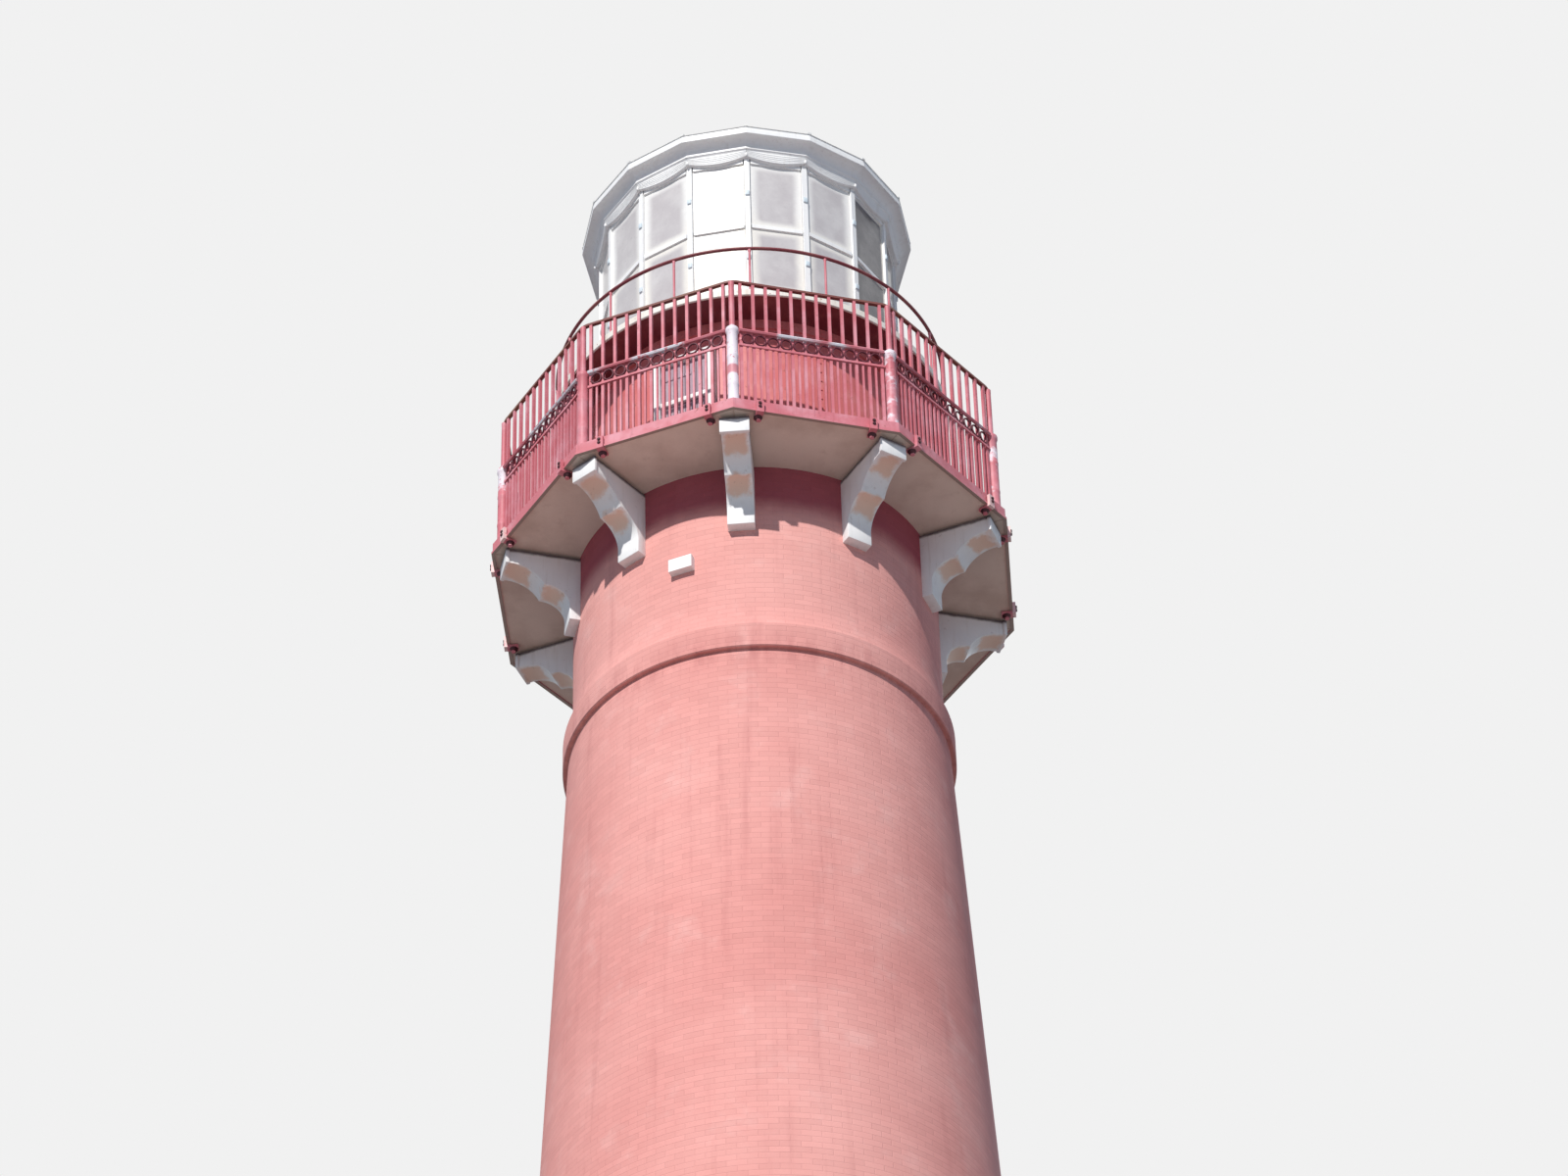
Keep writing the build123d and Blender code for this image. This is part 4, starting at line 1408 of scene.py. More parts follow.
    def clamps(self) -> None:
        """Make the cup nuts under the clamps and the bolts on their faces."""
        sizes = self.sizes
        corner = spans("gallery_fascia")[1]
        half = math.pi / sizes.gallery_sides
        apart = 2 * (corner * math.sin(half) - self.clamp_offset)
        plate = low("gallery_fascia") - self.clamp_thickness
        cup = raised(self.nut_foot, low("edge_clamps")) + [(self.nut_radius, plate), (0.0, plate)]
        nuts = Spread(
            sizes.gallery_sides, sizes.gallery_middle, corner * math.cos(half) - self.nut_inset, per_side=2, pitch=apart
        )
        self.repeat("cup_nuts", lathe(cup, 12), "nut", Paint.DARK_RED, nuts)
        bolts = Spread(
            sizes.gallery_sides, sizes.gallery_middle, sizes.clamp_face, plate + self.bolt_level,
            per_side=2, pitch=apart, levels=2, rise=self.bolt_rise,
        )
        self.repeat("clamp_bolts", turned(self.bolt, 6), "nut", Paint.DARK_RED, bolts)


@dataclass
class WatchRoom(Assembly):
    """The round plated wall between the gallery and the lantern."""

    plates: int = 9
    radius: float = 0.99
    wall: float = 0.09
    bite: float = 0.01
    seam: float = 0.0015
    crease: float = 20.0
    turn_step: float = 2.5
    door_width: float = 0.395
    door_height: float = 1.06
    strip_width: float = 0.052
    strip_depth: float = 0.006
    top_band: Flat = (0.07, 0.014)
    foot_band: Flat = (0.05, 0.011)
    skirt_gap: float = 1.0
    rivet: float = 0.009
    rivet_pitch: float = 0.026
    rivet_rise: float = 0.075
    rivet_margin: float = 0.04
    rivet_start: float = 0.03
    bolts: int = 36

    @property
    def door_half(self) -> float:
        """Return half the angle of the doorway, in degrees."""
        return math.degrees(math.atan2(self.door_width / 2, self.radius - self.wall))

    def band(self, bottom: float, top: float, start: float, span: float, proud: float = 0.0) -> Form:
        """Return a stretch of the wall between two levels, or of a band that stands proud of it.

        Args:
            bottom: Its lower level.
            top: Its upper level.
            start: Azimuth at which it starts, in degrees.
            span: Its angle, in degrees.
            proud: How far a band stands out, or 0 for the wall itself.

        Returns:
            The form.
        """
        inner = self.radius - (self.bite if proud else self.wall)
        outer = self.radius + proud
        section = [(inner, bottom), (outer, bottom), (outer, top), (inner, top)]
        return lathe(section, max(4, round(span / self.turn_step)), start, span)

    def build(self) -> None:
        """Make the wall, its joint strips and bands, and its rivets."""
        foot, top = self.sizes.deck_top, low("lantern_deck")
        door, door_half = self.sizes.door, self.door_half
        seam = math.degrees(self.seam / self.radius)
        first = door + door_half
        step = (360.0 - 2 * door_half) / self.plates
        wall = [self.band(foot, top, first + step * k + seam / 2, step - seam) for k in range(self.plates)]
        wall.append(self.band(foot + self.door_height, top, door - door_half + seam / 2, 2 * door_half - seam))
        self.single("watch_room_plates", join(wall), "watch", Paint.RED, "watch_room_wall", "watch_room_lintel",
                    crease=self.crease)
        (top_height, top_proud), (foot_height, foot_proud) = self.top_band, self.foot_band
        half = math.degrees(self.strip_width / 2 / self.radius)
        seams = [first + step * k for k in range(1, self.plates)]
        strips = [
            self.band(foot + foot_height, top - top_height, azimuth - half, 2 * half, self.strip_depth)
            for azimuth in seams
        ]
        strips.append(self.band(top - top_height, top, 0.0, 360.0, top_proud))
        skirt = 360.0 - 2 * door_half - 2 * self.skirt_gap
        strips.append(self.band(foot, foot + foot_height, first + self.skirt_gap, skirt, foot_proud))
        self.single("joint_strips", join(strips), "watch", Paint.RED, crease=self.crease)
        self.rivets(foot, top, seams)

    def rivets(self, foot: float, top: float, seams: Sequence[float]) -> None:
        """Set rivets on the two bands and on the joint strips.

        Args:
            foot: Level of the wall's foot.
            top: Level of its top.
            seams: Azimuths of the strips.
        """
        dome = [(0.0, 0.0), (self.rivet, 0.0), (self.rivet * 0.75, self.rivet * 0.5), (0.0, self.rivet * 0.7)]
        (top_height, top_proud), (foot_height, foot_proud) = self.top_band, self.foot_band
        for name, proud, level, count in (
            ("top_band_rivets", top_proud, top - top_height / 2, 2 * self.bolts),
            ("foot_band_bolts", foot_proud, foot + foot_height / 2, self.bolts),
        ):
            spread = Spread(count, self.sizes.door + 180.0 / self.bolts, self.radius + proud, level)
            self.repeat(name, turned(dome, 8), "watch", Paint.RED, spread)
        levels = int((top - foot - top_height - foot_height - self.rivet_margin) / self.rivet_rise)
        forms = []
        for azimuth in seams:
            spread = Spread(
                1, azimuth, self.radius + self.strip_depth, foot + foot_height + self.rivet_start,
                per_side=2, pitch=self.rivet_pitch, levels=levels, rise=self.rivet_rise,
            )
            form = bmesh.new()
            form.from_mesh(self.kit.rows.lay("rivets", turned(dome, 8), self.kit.finishes["watch"], spread, CREASE))
            forms.append(form)
        self.single("strip_rivets", join(forms), "watch", Paint.RED)


@dataclass
class Lantern(Assembly):
    """Walkway, hoods, cornice, clips, post heads, ventilator and rod."""

    walkway_segments: int = 128
    kerb_edge: Flat = (0.004, 0.003)
    stanchion_foot: Outline = ((0.0, 0.0), (0.016, 0.0), (0.016, 0.006), (0.009, 0.014), (0.0075, 0.03))
    stanchion_head: Outline = ((0.0075, -0.02), (0.010, -0.008), (0.010, 0.0), (0.0, 0.0))
    hood_across: int = 24
    hood_down: int = 40
    hood_height: float = 0.09
    hood_sag: float = 0.037
    hood_depth: float = 0.026
    hood_lean: float = 0.72
    hood_tuck: float = 0.6
    hood_gap: float = 0.0008
    hood_taper: float = 0.995
    hood_band: float = 0.012
    hood_base: float = 25.255
    folds: int = 5
    fold_share: float = 0.8
    fold_depth: float = 0.0042
    drop: Outline = ((0.0, -0.012), (0.006, -0.004), (0.0085, 0.006), (0.006, 0.018), (0.0, 0.03))
    cornice_core: float = 0.8
    eave_lip: float = 0.014
    eave_edge: float = 0.002
    eave_step: float = 0.006
    eave_shares: Flat = (0.55, 0.62)
    fascia: float = 0.06
    cove_bow: float = 0.0192
    cove_steps: int = 14
    clip_half: float = 0.013
    clip_reach: Flat = (-0.004, 0.010)
    clip_rise: float = 0.02
    clip_edge: float = 0.003
    clip_share: float = 0.999
    head_width: float = 0.033
    head_depth: float = 0.05
    head_gap: float = 0.001
    ball_radius: float = 0.19
    ball_seat: float = 0.1
    ball_steps: int = 24
    neck_height: float = 0.11
    neck_foot: Outline = ((0.0, 0.034), (-0.006, 0.04))
    neck_head: Outline = ((0.006, 0.05), (0.0, 0.1))
    spout_radius: float = 0.034
    spout_edge: float = 0.006
    rod_foot: Outline = ((0.0, 0.0), (0.016, 0.0), (0.016, 0.012), (0.011, 0.02))
    rod_tip: Outline = ((0.0105, -0.08), (0.003, -0.002), (0.0, 0.0))

    def build(self) -> None:
        """Make all pieces of the lantern."""
        self.walkway()
        self.hoods()
        self.cornice()
        self.clips()
        self.post_heads()
        self.ventilator()
        self.rod()

    def corners(self, distance: float, level: float = 0.0, **rows: float) -> Spread:
        """Return places at the corners of the lantern, in one row or more."""
        return Spread(self.sizes.lantern_sides, self.sizes.lantern_corner, distance, level, **rows)

    def walkway(self) -> None:
        """Make the round deck, kerb, rail and stanchions of the walkway."""
        deck_low, deck_top = low("lantern_deck"), high("lantern_deck")
        kerb_low, kerb_top = low("lantern_kerb"), high("lantern_kerb")
        edge, reach = spans("lantern_deck")[1], spans("lantern_kerb")[1]
        disc = [(0.0, deck_low), (edge, deck_low), (edge, deck_top), (0.0, deck_top)]
        self.single("walkway_deck", lathe(disc, self.walkway_segments), "dark_red", Paint.DARK_RED, "lantern_deck")
        under, over = self.kerb_edge
        lip = [
            (edge, kerb_low), (reach - under, kerb_low), (reach, kerb_low + under),
            (reach, kerb_top - over), (reach - over, kerb_top), (edge, kerb_top),
        ]
        self.single("walkway_kerb", lathe(lip, self.walkway_segments), "kerb", Paint.WHITE_IRON, "lantern_kerb")
        rail_low, rail_top = low("walkway_rail"), high("walkway_rail")
        radius = sum(spans("walkway_stanchions")) / 2
        hoop = self.kit.hoop.bend(
            "walkway_hoop", self.kit.finishes["dark_red"], radius, (rail_low + rail_top) / 2, rail_top - rail_low
        )
        self.add("walkway_hoop", hoop, Paint.DARK_RED, ["walkway_rail"])
        outline = raised(self.stanchion_foot, deck_top) + raised(self.stanchion_head, high("walkway_stanchions"))
        self.repeat("turned_stanchions", lathe(outline, 12), "red", Paint.RED, self.corners(radius),
                    "walkway_stanchions")

    def hood_relief(self, height: float) -> float:
        """Tell how far a hood stands off the wall: slanting folds under a flared band.

        Args:
            height: Share of the hood's height.

        Returns:
            The distance in metres.
        """
        if height == 0.0:
            return self.hood_depth * self.hood_tuck
        folded = min(height / self.fold_share, 1.0)
        flare = max(0.0, (height - self.fold_share) / (1 - self.fold_share))
        lean = self.hood_lean + (1 - self.hood_lean) * folded
        fold = self.fold_depth * abs(math.sin(math.pi * self.folds * folded))
        return self.hood_depth * lean + fold + self.hood_band * flare * flare

    def hoods(self) -> None:
        """Make the folded hoods over the panes, and the drops at their corners."""
        sizes = self.sizes
        back = sizes.lantern_side + HAIR
        slope = math.tan(math.pi / sizes.lantern_sides)
        form = bmesh.new()
        front, rear = [], []
        for i in range(self.hood_across + 1):
            share = 2 * i / self.hood_across - 1
            bottom = self.hood_sag * share * share
            front.append([])
            rear.append([])
            for j in range(self.hood_down + 1):
                height = j / self.hood_down
                level = bottom + (self.hood_height - bottom) * height
                out = back + self.hood_relief(height)
                front[i].append(form.verts.new(((out * slope - self.hood_gap) * share, -out, level)))
                rear[i].append(form.verts.new((back * slope * share * self.hood_taper, -back, level)))
        skin(form, front)
        skin(form, rear)
        for end in (0, -1):
            skin(form, [[row[end] for row in front], [row[end] for row in rear]])
            skin(form, [front[end], rear[end]])
        spread = Spread(sizes.lantern_sides, sizes.lantern_middle, level=self.hood_base)
        self.repeat("folded_hoods", form, "white", Paint.WHITE_IRON, spread, "hood_mouldings", crease=48.0)
        corner = (sizes.lantern_side + self.hood_depth) / math.cos(math.pi / sizes.lantern_sides)
        spread = self.corners(corner, self.hood_base + self.hood_sag)
        self.repeat("corner_drops", lathe(self.drop, 10), "white", Paint.WHITE_IRON, spread, crease=60.0)

    def cornice(self) -> None:
        """Make the coved cornice with its thin eave, sharp along its mitres."""
        sizes = self.sizes
        middle = outward(sizes.lantern_middle)
        reaches = [place.dot(middle) for place in places("cornice")]
        eave, inner = max(reaches), min(reach for reach in reaches if reach > self.cornice_core)
        bottom, top = low("cornice"), high("cornice")
        level = top - self.fascia
        start = (sizes.lantern_side + HAIR + self.hood_depth + self.hood_band, bottom)
        step, groove = (level + self.fascia * share for share in self.eave_shares)
        outline = [(inner, bottom)] + arc(start, (eave - self.eave_lip, level), self.cove_bow, self.cove_steps)
        outline += [
            (eave - self.eave_edge, level), (eave, level + self.eave_edge), (eave, step),
            (eave - self.eave_step, groove), (eave - self.eave_step, top), (inner, top),
        ]
        stretch = 1 / math.cos(math.pi / sizes.lantern_sides)
        form = lathe([(out * stretch, up) for out, up in outline], sizes.lantern_sides, sizes.lantern_corner)
        mesh = to_mesh("coved_cornice", form)
        for edge in mesh.edges:
            first, second = (mesh.vertices[k].co for k in edge.vertices)
            if abs(first.x * second.y - first.y * second.x) < 1e-6:
                edge.use_edge_sharp = True
        mesh.materials.append(self.kit.finishes["white"])
        self.add("coved_cornice", mesh, Paint.WHITE_IRON, ["cornice"])

    def clips(self) -> None:
        """Make the small clips that hold the panes to the posts."""
        form = upright(self.clip_half, *self.clip_reach, -self.clip_rise, self.clip_rise, self.clip_edge)
        lower, upper = ((low(panes) + high(panes)) / 2 for panes in ("lower_panes", "upper_panes"))
        spread = self.corners(spans("lantern_posts")[1] * self.clip_share, lower, levels=2, rise=upper - lower)
        self.repeat("pane_clips", form, "clip", Paint.WHITE_IRON, spread)

    def post_heads(self) -> None:
        """Close the corners between the posts and the hoods with a short block on each post."""
        top = high("hood_mouldings") - self.head_gap
        form = upright(self.head_width / 2, -self.head_depth, 0.0, high("lantern_posts"), top)
        spread = self.corners(spans("lantern_posts")[1] - self.head_gap)
        self.repeat("post_heads", form, "white", Paint.WHITE_IRON, spread)

    def ventilator(self) -> None:
        """Make the smooth ventilator ball on its neck."""
        bottom, top, roof = low("ventilator"), high("ventilator"), high("roof_panels")
        neck = spans("roof_panels")[0] - HAIR
        centre = roof + self.neck_height + math.sqrt(self.ball_radius**2 - self.ball_seat**2)
        start = -math.acos(self.ball_seat / self.ball_radius)
        span = math.acos(self.spout_radius / self.ball_radius) - start
        outline = [(0.0, bottom), (neck, bottom)]
        outline += raised(self.neck_foot, roof, neck) + raised(self.neck_head, roof, self.ball_seat)
        for k in range(self.ball_steps + 1):
            tilt = start + span * k / self.ball_steps
            outline.append((self.ball_radius * math.cos(tilt), centre + self.ball_radius * math.sin(tilt)))
        edge = self.spout_edge
        outline += [(self.spout_radius, top - edge), (self.spout_radius - edge, top), (0.0, top)]
        self.single("ventilator_ball", lathe(outline, 64), "roof", Paint.WHITE_IRON, "ventilator")

    def rod(self) -> None:
        """Make the pointed rod on the ball."""
        outline = raised(self.rod_foot, low("lightning_rod")) + raised(self.rod_tip, high("lightning_rod"))
        self.single("pointed_rod", lathe(outline, 16), "metal", Paint.METAL, "lightning_rod")


@dataclass
class Doors(Assembly):
    """Hinges, handles and the white cross bar of the two doors, which face the same way."""

    edge: float = 0.004
    edge_share: float = 0.35
    hinge_inset: float = 0.004
    strap: Flat = (0.62, 0.024)
    strap_depth: float = 0.005
    knuckle: Flat = (0.022, 0.044)
    knuckle_depth: float = 0.010
    knob: Outline = (
        (0.0, 0.0), (0.016, 0.0), (0.016, 0.003), (0.005, 0.006), (0.005, 0.016), (0.012, 0.022), (0.0, 0.028)
    )
    knob_place: Flat = (0.88, 0.47)
    bar_rise: float = 0.683
    bar_height: float = 0.036
    bar_depth: float = 0.016
    bar_proud: float = 0.004

    def build(self) -> None:
        """Make the fittings of both doors."""
        self.dress_door("entrance", 0.10, 0.9, "dark_red")
        self.dress_door("gallery", 0.12, 0.78, "leaf")
        self.cross_bar()

    def leaf(self, label: str) -> tuple[list[float], list[float]]:
        """Return the places of a leaf's corners along the wall and outwards."""
        corners = places(label + "_door")
        away, right = outward(self.sizes.door), sideways(self.sizes.door)
        return [corner.dot(right) for corner in corners], [corner.dot(away) for corner in corners]

    def panel(self, distance: float, left: float, bottom: float, size: Flat, depth: float) -> Form:
        """Return a softened upright plate on a plane square to the doors' azimuth.

        Args:
            distance: Distance of its back from the axis.
            left: Place of its left edge along the plane.
            bottom: Level of its lower edge.
            size: Width and height.
            depth: Thickness.

        Returns:
            The form.
        """
        away, right = outward(self.sizes.door), sideways(self.sizes.door)
        start = away * distance + right * left + Vector((0, 0, bottom))
        across, up = right * size[0], Vector((0, 0, size[1]))
        corners = [start, start + across, start + across + up, start + up]
        return block(corners, away * depth, min(self.edge, depth * self.edge_share))

    def cross_bar(self) -> None:
        """Put the white bar on the gallery door, over the whole width of the leaf's ledge."""
        alongs, outs = self.leaf("gallery")
        face = max(outs)
        ledge = [along for along, out in zip(alongs, outs) if out > face - 0.001]
        left, right = min(ledge), max(ledge)
        level = self.sizes.deck_top + self.bar_rise
        size = (right - left, self.bar_height)
        plate = self.panel(face - self.bar_depth, left, level, size, self.bar_depth + self.bar_proud)
        self.single("gallery_door_bar", plate, "white", Paint.WHITE)

    def dress_door(self, label: str, hinge_low: float, hinge_rise: float, finish: str) -> None:
        """Put hinges and a handle on a leaf.

        Args:
            label: First word of the leaf's name and of the new pieces' names.
            hinge_low: Height of the lower hinge over the leaf's foot.
            hinge_rise: Distance between the hinges.
            finish: Name of the hinges' finish.
        """
        alongs, outs = self.leaf(label)
        depths = sorted({round(out, 4) for out in outs})
        face = depths[1] if len(depths) > 2 else depths[-1]
        left, width = min(alongs), max(alongs) - min(alongs)
        foot, top = low(label + "_door"), high(label + "_door")
        strap = (width * self.strap[0], self.strap[1])
        forms = []
        for level in (foot + hinge_low, foot + hinge_low + hinge_rise):
            for bottom, size, depth in (
                (level, strap, self.strap_depth),
                (level - (self.knuckle[1] - strap[1]) / 2, self.knuckle, self.knuckle_depth),
            ):
                forms.append(self.panel(face, left + self.hinge_inset, bottom, size, depth))
        self.single(label + "_hinges", join(forms), finish, Paint.DOOR)
        along, up = self.knob_place
        spread = Spread(1, self.sizes.door, face, foot + (top - foot) * up, shift=left + width * along)
        self.repeat(label + "_handle", turned(self.knob, 16), "metal", Paint.METAL, spread, crease=50.0)


@dataclass(frozen=True)
class Viewpoint:
    """Where the photograph was taken from, in the model's own metres and in degrees."""

    distance: float = 24.097
    height: float = 0.789
    pitch: float = 42.05
    turn: float = 0.413
    roll: float = -1.722
    focal_pixels: float = 5500.0
    image_width: float = 1600.0
    sensor: float = 36.0
    clip: Flat = (0.1, 1000.0)

    def build(self) -> None:
        """Make the camera and set it as the scene's camera."""
        pitch, turn, roll = (math.radians(angle) for angle in (self.pitch, self.turn, self.roll))
        forward = Vector((math.sin(turn) * math.cos(pitch), math.cos(turn) * math.cos(pitch), math.sin(pitch)))
        level = Vector((math.cos(turn), -math.sin(turn), 0.0))
        rise = level.cross(forward)
        right = math.cos(roll) * level + math.sin(roll) * rise
        up = math.cos(roll) * rise - math.sin(roll) * level
        data = bpy.data.cameras.new("camera")
        data.sensor_width = self.sensor
        data.lens = self.focal_pixels / self.image_width * self.sensor
        data.clip_start, data.clip_end = self.clip
        camera = bpy.data.objects.new("camera", data)
        facing = Matrix((right, up, -forward)).transposed().to_4x4()
        camera.matrix_world = Matrix.Translation((0.0, -self.distance, self.height)) @ facing
        bpy.context.scene.collection.objects.link(camera)
        bpy.context.scene.camera = camera


@dataclass(frozen=True)
class Lamp:
    """A distant lamp; its angles are in degrees."""

    name: str
    azimuth: float
    elevation: float
    strength: float
    softness: float
    colour: Point

    def build(self) -> None:
        """Make the lamp."""
        data = bpy.data.lights.new(self.name, "SUN")
        data.energy = self.strength
        data.angle = math.radians(self.softness)
        data.color = self.colour
        lamp = bpy.data.objects.new(self.name, data)
        rise = math.radians(self.elevation)
        towards = outward(self.azimuth) * math.cos(rise) + Vector((0, 0, math.sin(rise)))
        lamp.rotation_euler = towards.to_track_quat("Z", "Y").to_euler()
        bpy.context.scene.collection.objects.link(lamp)


@dataclass(frozen=True)
class Studio:
    """A pale floor and backdrop, one key lamp from the front left and a plain fill from behind.

    Both look pale, but light the tower like a blue sky, and like a yard with sand before it and woods behind.
    """

    lamps: tuple[Lamp, ...] = (
        Lamp("key", -19.0, 37.7, 3.7, 1.0, (1.0, 0.97, 0.93)),
        Lamp("back fill", 174.0, 30.0, 0.85, 20.0, (0.86, 0.93, 1.0)),
    )
    sky_strength: float = 0.34
    sky: Point = (0.46, 0.66, 1.0)
    backdrop: Point = (0.88, 0.88, 0.88)
    floor: Point = (0.8, 0.8, 0.79)
    floor_size: float = 400.0
    floor_roughness: float = 0.9
    yard_radius: float = 24.0
    yard: Point = (0.26, 0.23, 0.21)
    sand: Point = (0.46, 0.44, 0.43)
    wood: Point = (0.12, 0.12, 0.12)

    def build(self) -> None:
        """Make the world, the lamps and the floor."""
        bpy.context.scene.view_settings.view_transform = "Standard"
        self.make_world()
        for lamp in self.lamps:
            lamp.build()
        self.make_floor()

    @staticmethod
    def seen(graph: Graph, light: bpy.types.NodeSocket, look: bpy.types.NodeSocket) -> bpy.types.NodeSocket:
        """Let one shader light the scene, and show another straight, mirrored or through glass.

        Args:
            graph: Graph that both are in.
            light: Shader that lights.
            look: Shader that shows.

        Returns:
            The mixed shader.
        """
        rays = graph.node("ShaderNodeLightPath").outputs
        camera, glossy, through = (
            Value(graph, rays[name]) for name in ("Is Camera Ray", "Is Glossy Ray", "Is Transmission Ray")
        )
        return graph.out("ShaderNodeMixShader", None, {0: camera.most(glossy).most(through), 1: light, 2: look})

    def make_world(self) -> None:
        """Make the sky that lights and the pale backdrop that shows."""
        world = bpy.data.worlds.new("pale world")
        world.use_nodes = True
        graph = Graph(world.node_tree)
        graph.tree.nodes.clear()
        light, look = (
            graph.out("ShaderNodeBackground", None, {"Color": colour, "Strength": strength})
            for colour, strength in ((self.sky, self.sky_strength), (self.backdrop, 1.0))
        )
        graph.node("ShaderNodeOutputWorld", None, {"Surface": self.seen(graph, light, look)})
        bpy.context.scene.world = world

    def make_floor(self) -> None:
        """Make the pale floor, which throws light back like a yard, sand and woods."""
        half = self.floor_size / 2
        mesh = bpy.data.meshes.new("floor")
        corners = [(-half, -half, 0.0), (half, -half, 0.0), (half, half, 0.0), (-half, half, 0.0)]
        mesh.from_pydata(corners, [], [(0, 1, 2, 3)])
        finish = Finish("pale floor")
        for name, value in (("Base Color", self.floor), ("Roughness", self.floor_roughness)):
            finish.feed(finish.surface.inputs[name], value)
        length = finish.out("ShaderNodeVectorMath", {"operation": "LENGTH"}, {0: finish.place}, "Value")
        beyond = Value(finish, length).rise(self.yard_radius * 0.8, self.yard_radius * 1.2)
        back = finish.axes()[1].rise(-self.yard_radius, self.yard_radius)
        yard, sand, wood = (
            finish.out("ShaderNodeBsdfDiffuse", None, {"Color": colour}) for colour in (self.yard, self.sand, self.wood)
        )
        land = finish.out("ShaderNodeMixShader", None, {0: back, 1: sand, 2: wood})
        ground = finish.out("ShaderNodeMixShader", None, {0: beyond, 1: yard, 2: land})
        shown = self.seen(finish, ground, finish.surface.outputs[0])
        finish.feed(finish.tree.nodes["Material Output"].inputs["Surface"], shown)
        mesh.materials.append(finish.material)
        floor = bpy.data.objects.new("floor", mesh)
        bpy.context.scene.collection.objects.link(floor)


def pane_half(sizes: Sizes) -> float:
    """Return half the width of a pane."""
    away, right = outward(sizes.lantern_middle), sideways(sizes.lantern_middle)
    face = face_of("upper_panes", sizes.lantern_middle)
    return max(place.dot(right) for place in places("upper_panes") if place.dot(away) > face - 0.001)


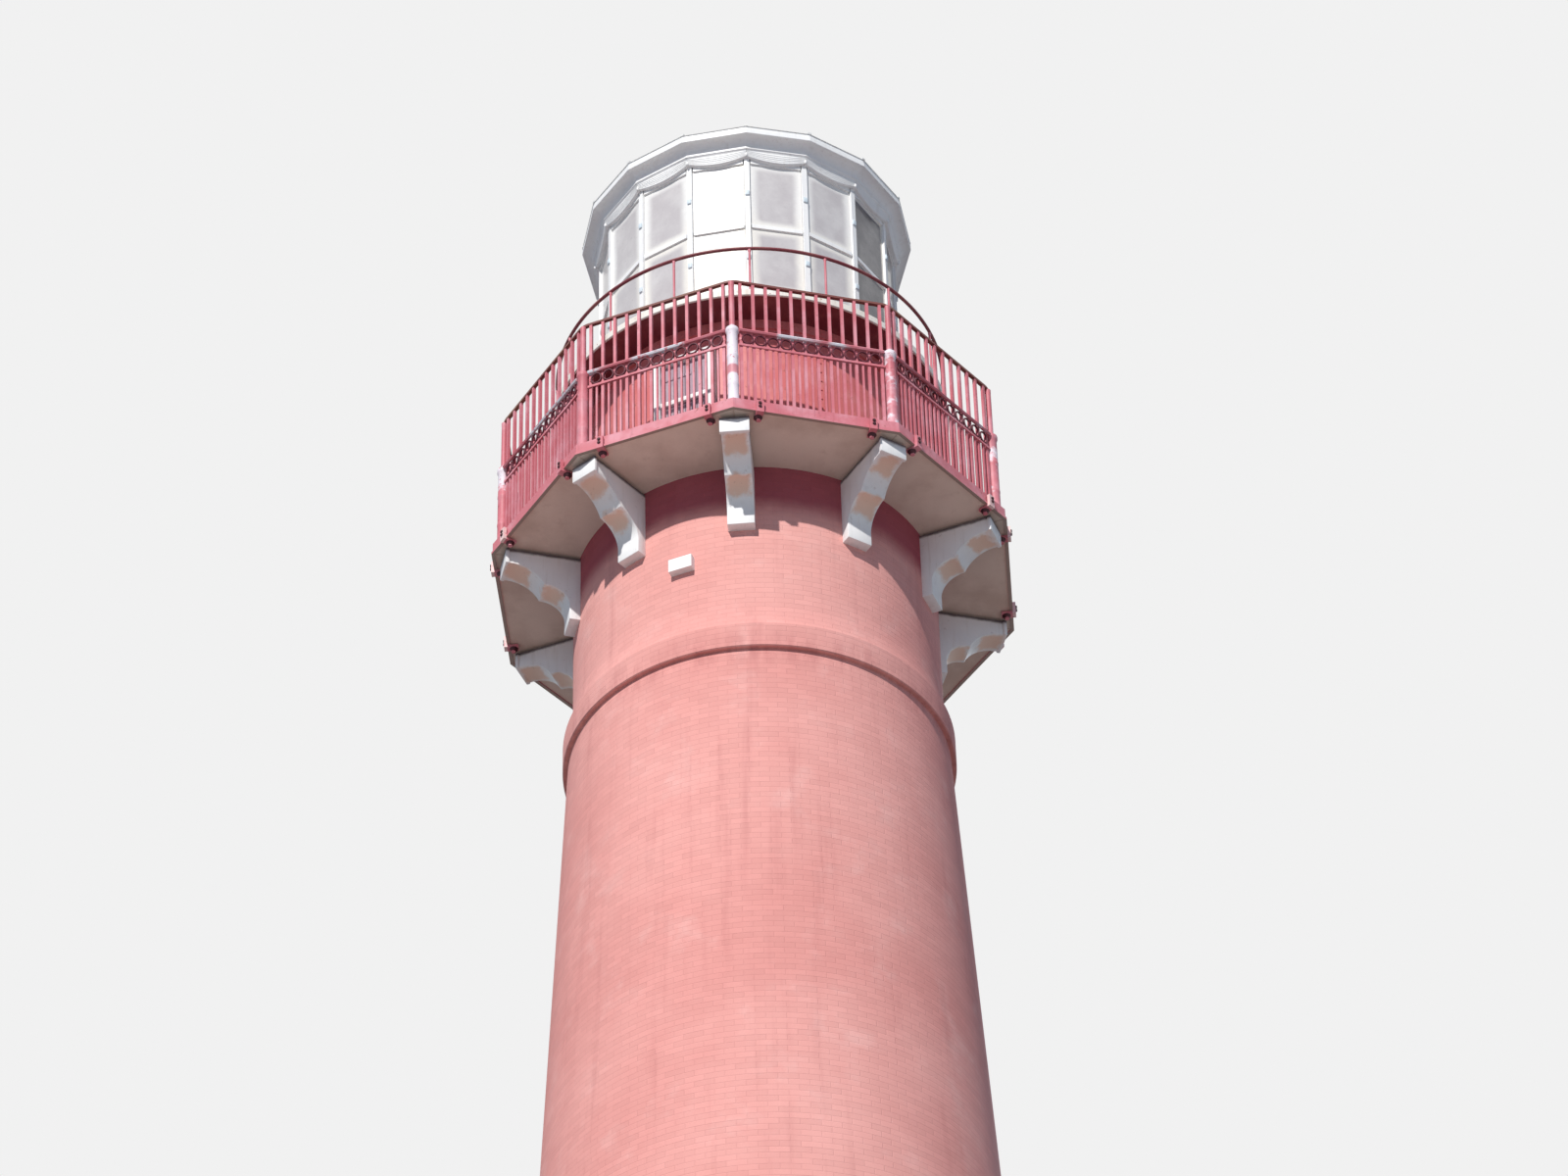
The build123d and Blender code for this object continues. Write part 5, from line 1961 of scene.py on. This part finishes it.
def make_finishes(sizes: Sizes, shaft: Shaft, gallery: Gallery) -> dict[str, Material]:
    """Make every material of the tower.

    Args:
        sizes: Shared places.
        shaft: The shaft, for the taper of its courses.
        gallery: The gallery, for the places of wear, painted reflection and painted shade.

    Returns:
        The materials by name.
    """
    rail = sizes.deck_low + gallery.handrail_rise
    red = {"base": (0.62, 0.175, 0.21), "chalk": (0.84, 0.46, 0.53), "dirt": (0.24, 0.04, 0.06)}
    white = {"base": (0.92, 0.92, 0.91), "chalk": (0.84, 0.85, 0.87), "dirt": (0.56, 0.51, 0.45)}
    corner = {"count": sizes.gallery_sides, "first": sizes.gallery_corner}
    side = {"count": sizes.gallery_sides, "first": sizes.gallery_middle}
    sills = (low("lower_panes"), high("lower_panes"), low("upper_panes"), high("upper_panes"))
    coats = {
        "masonry": Masonry(shaft.foot_radius, shaft.taper, shaft.belt_level, sizes.deck_low),
        "red": Iron("red iron", **red),
        "watch": Iron("watch room red", (0.68, 0.18, 0.18), (0.80, 0.33, 0.32), (0.30, 0.05, 0.06), streak_share=0.4),
        "railing": Railing("fence red", **red, rail_level=rail, post_radius=gallery.fence_corner),
        "post": PostPaint("post red", **red, **corner, rail_level=rail),
        "fascia": Fascia("fascia red", **red),
        "clamp": ClampPaint("clamp red", **red, **side, plate=sizes.clamp_face - gallery.clamp_thickness),
        "dark_red": Iron("dark red iron", (0.20, 0.036, 0.048), (0.38, 0.15, 0.14), (0.07, 0.02, 0.02), roughness=0.36),
        "nut": Iron("nut paint", (0.050, 0.008, 0.014), (0.10, 0.03, 0.035), (0.03, 0.008, 0.008), roughness=0.5),
        "ring": Iron("ring paint", (0.11, 0.014, 0.030), (0.22, 0.07, 0.09), (0.04, 0.010, 0.014)),
        "top_rail": Iron("top rail paint", (0.19, 0.055, 0.05), (0.30, 0.20, 0.12), (0.08, 0.04, 0.03), rust_share=0.8),
        "white": Iron("white iron", **white, rust_share=0.12, streak_share=0.22, chalk_share=0.4, roughness=0.34),
        "roof": Iron(
            "roof white", (0.74, 0.74, 0.72), (0.64, 0.65, 0.66), (0.42, 0.37, 0.32), rust_share=0.35, streak_share=0.4
        ),
        "kerb": Iron(
            "stained kerb", (0.86, 0.82, 0.74), (0.88, 0.87, 0.85), (0.50, 0.34, 0.24), (0.36, 0.15, 0.09),
            chalk_share=0.6, rust_share=0.85, streak_share=0.5,
        ),
        "bracket": BracketPaint(
            "bracket white", **white, **corner, rust_share=0.2, coves=gallery.cove_centres(),
            joint_level=sizes.deck_low - gallery.bearing_height,
        ),
        "clip": Iron("clip paint", (0.66, 0.76, 0.82), (0.8, 0.84, 0.86), (0.4, 0.42, 0.42), rust_share=0.2),
        "soffit": Soffit(sizes.gallery_sides, sizes.gallery_corner),
        "glass": Milk(sizes.lantern_sides, sizes.lantern_middle, pane_half(sizes), sills),
        "leaf": Boards(sizes.door),
        "stone": Stone(),
        "metal": Metal(),
    }
    return {name: coat.make() for name, coat in coats.items()}


def dress_nodes(nodes: dict[str, bpy.types.Object], finishes: dict[str, Material]) -> None:
    """Give every CAD node its material, by the longest of these beginnings that its name has.

    Args:
        nodes: The CAD nodes by name.
        finishes: The materials by name.
    """
    by_prefix = {
        "shaft_wall": "masonry", "ground_floor": "stone", "wall_vent": "white",
        "entrance_frame": "white", "entrance_door": "leaf", "gallery_door_frame": "white", "gallery_door": "leaf",
        "gallery_deck": "soffit", "gallery_fascia": "fascia", "gallery_brackets": "bracket", "edge_clamps": "clamp",
        "fence_panel": "railing", "fence_posts": "post", "fence_top_rail": "top_rail",
        "watch_room": "watch", "walkway_rail": "dark_red", "walkway_stanchions": "red",
        "lantern_": "white", "lantern_deck": "dark_red", "lower_panes": "glass", "upper_panes": "glass",
        "hood_mouldings": "white", "cornice": "white", "roof_": "roof", "ventilator": "roof",
        "lightning_rod": "metal",
    }
    for name, node in nodes.items():
        best = max((prefix for prefix in by_prefix if name.startswith(prefix)), key=len)
        node.data.materials.clear()
        node.data.materials.append(finishes[by_prefix[best]])


def main() -> None:
    """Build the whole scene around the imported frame."""
    logging.basicConfig(level=logging.INFO, format="%(name)s: %(message)s")
    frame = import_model()
    Viewpoint().build()
    Studio().build()
    sizes = Sizes()
    kit = Kit(sizes, Rows(), Hoop(), {})
    shaft = Shaft(kit)
    gallery = Gallery(kit)
    kit.finishes.update(make_finishes(sizes, shaft, gallery))
    dress_nodes(frame["nodes"], kit.finishes)
    for part in (shaft, gallery, WatchRoom(kit), Lantern(kit), Doors(kit)):
        part.build()


if __name__ == "__main__":
    main()
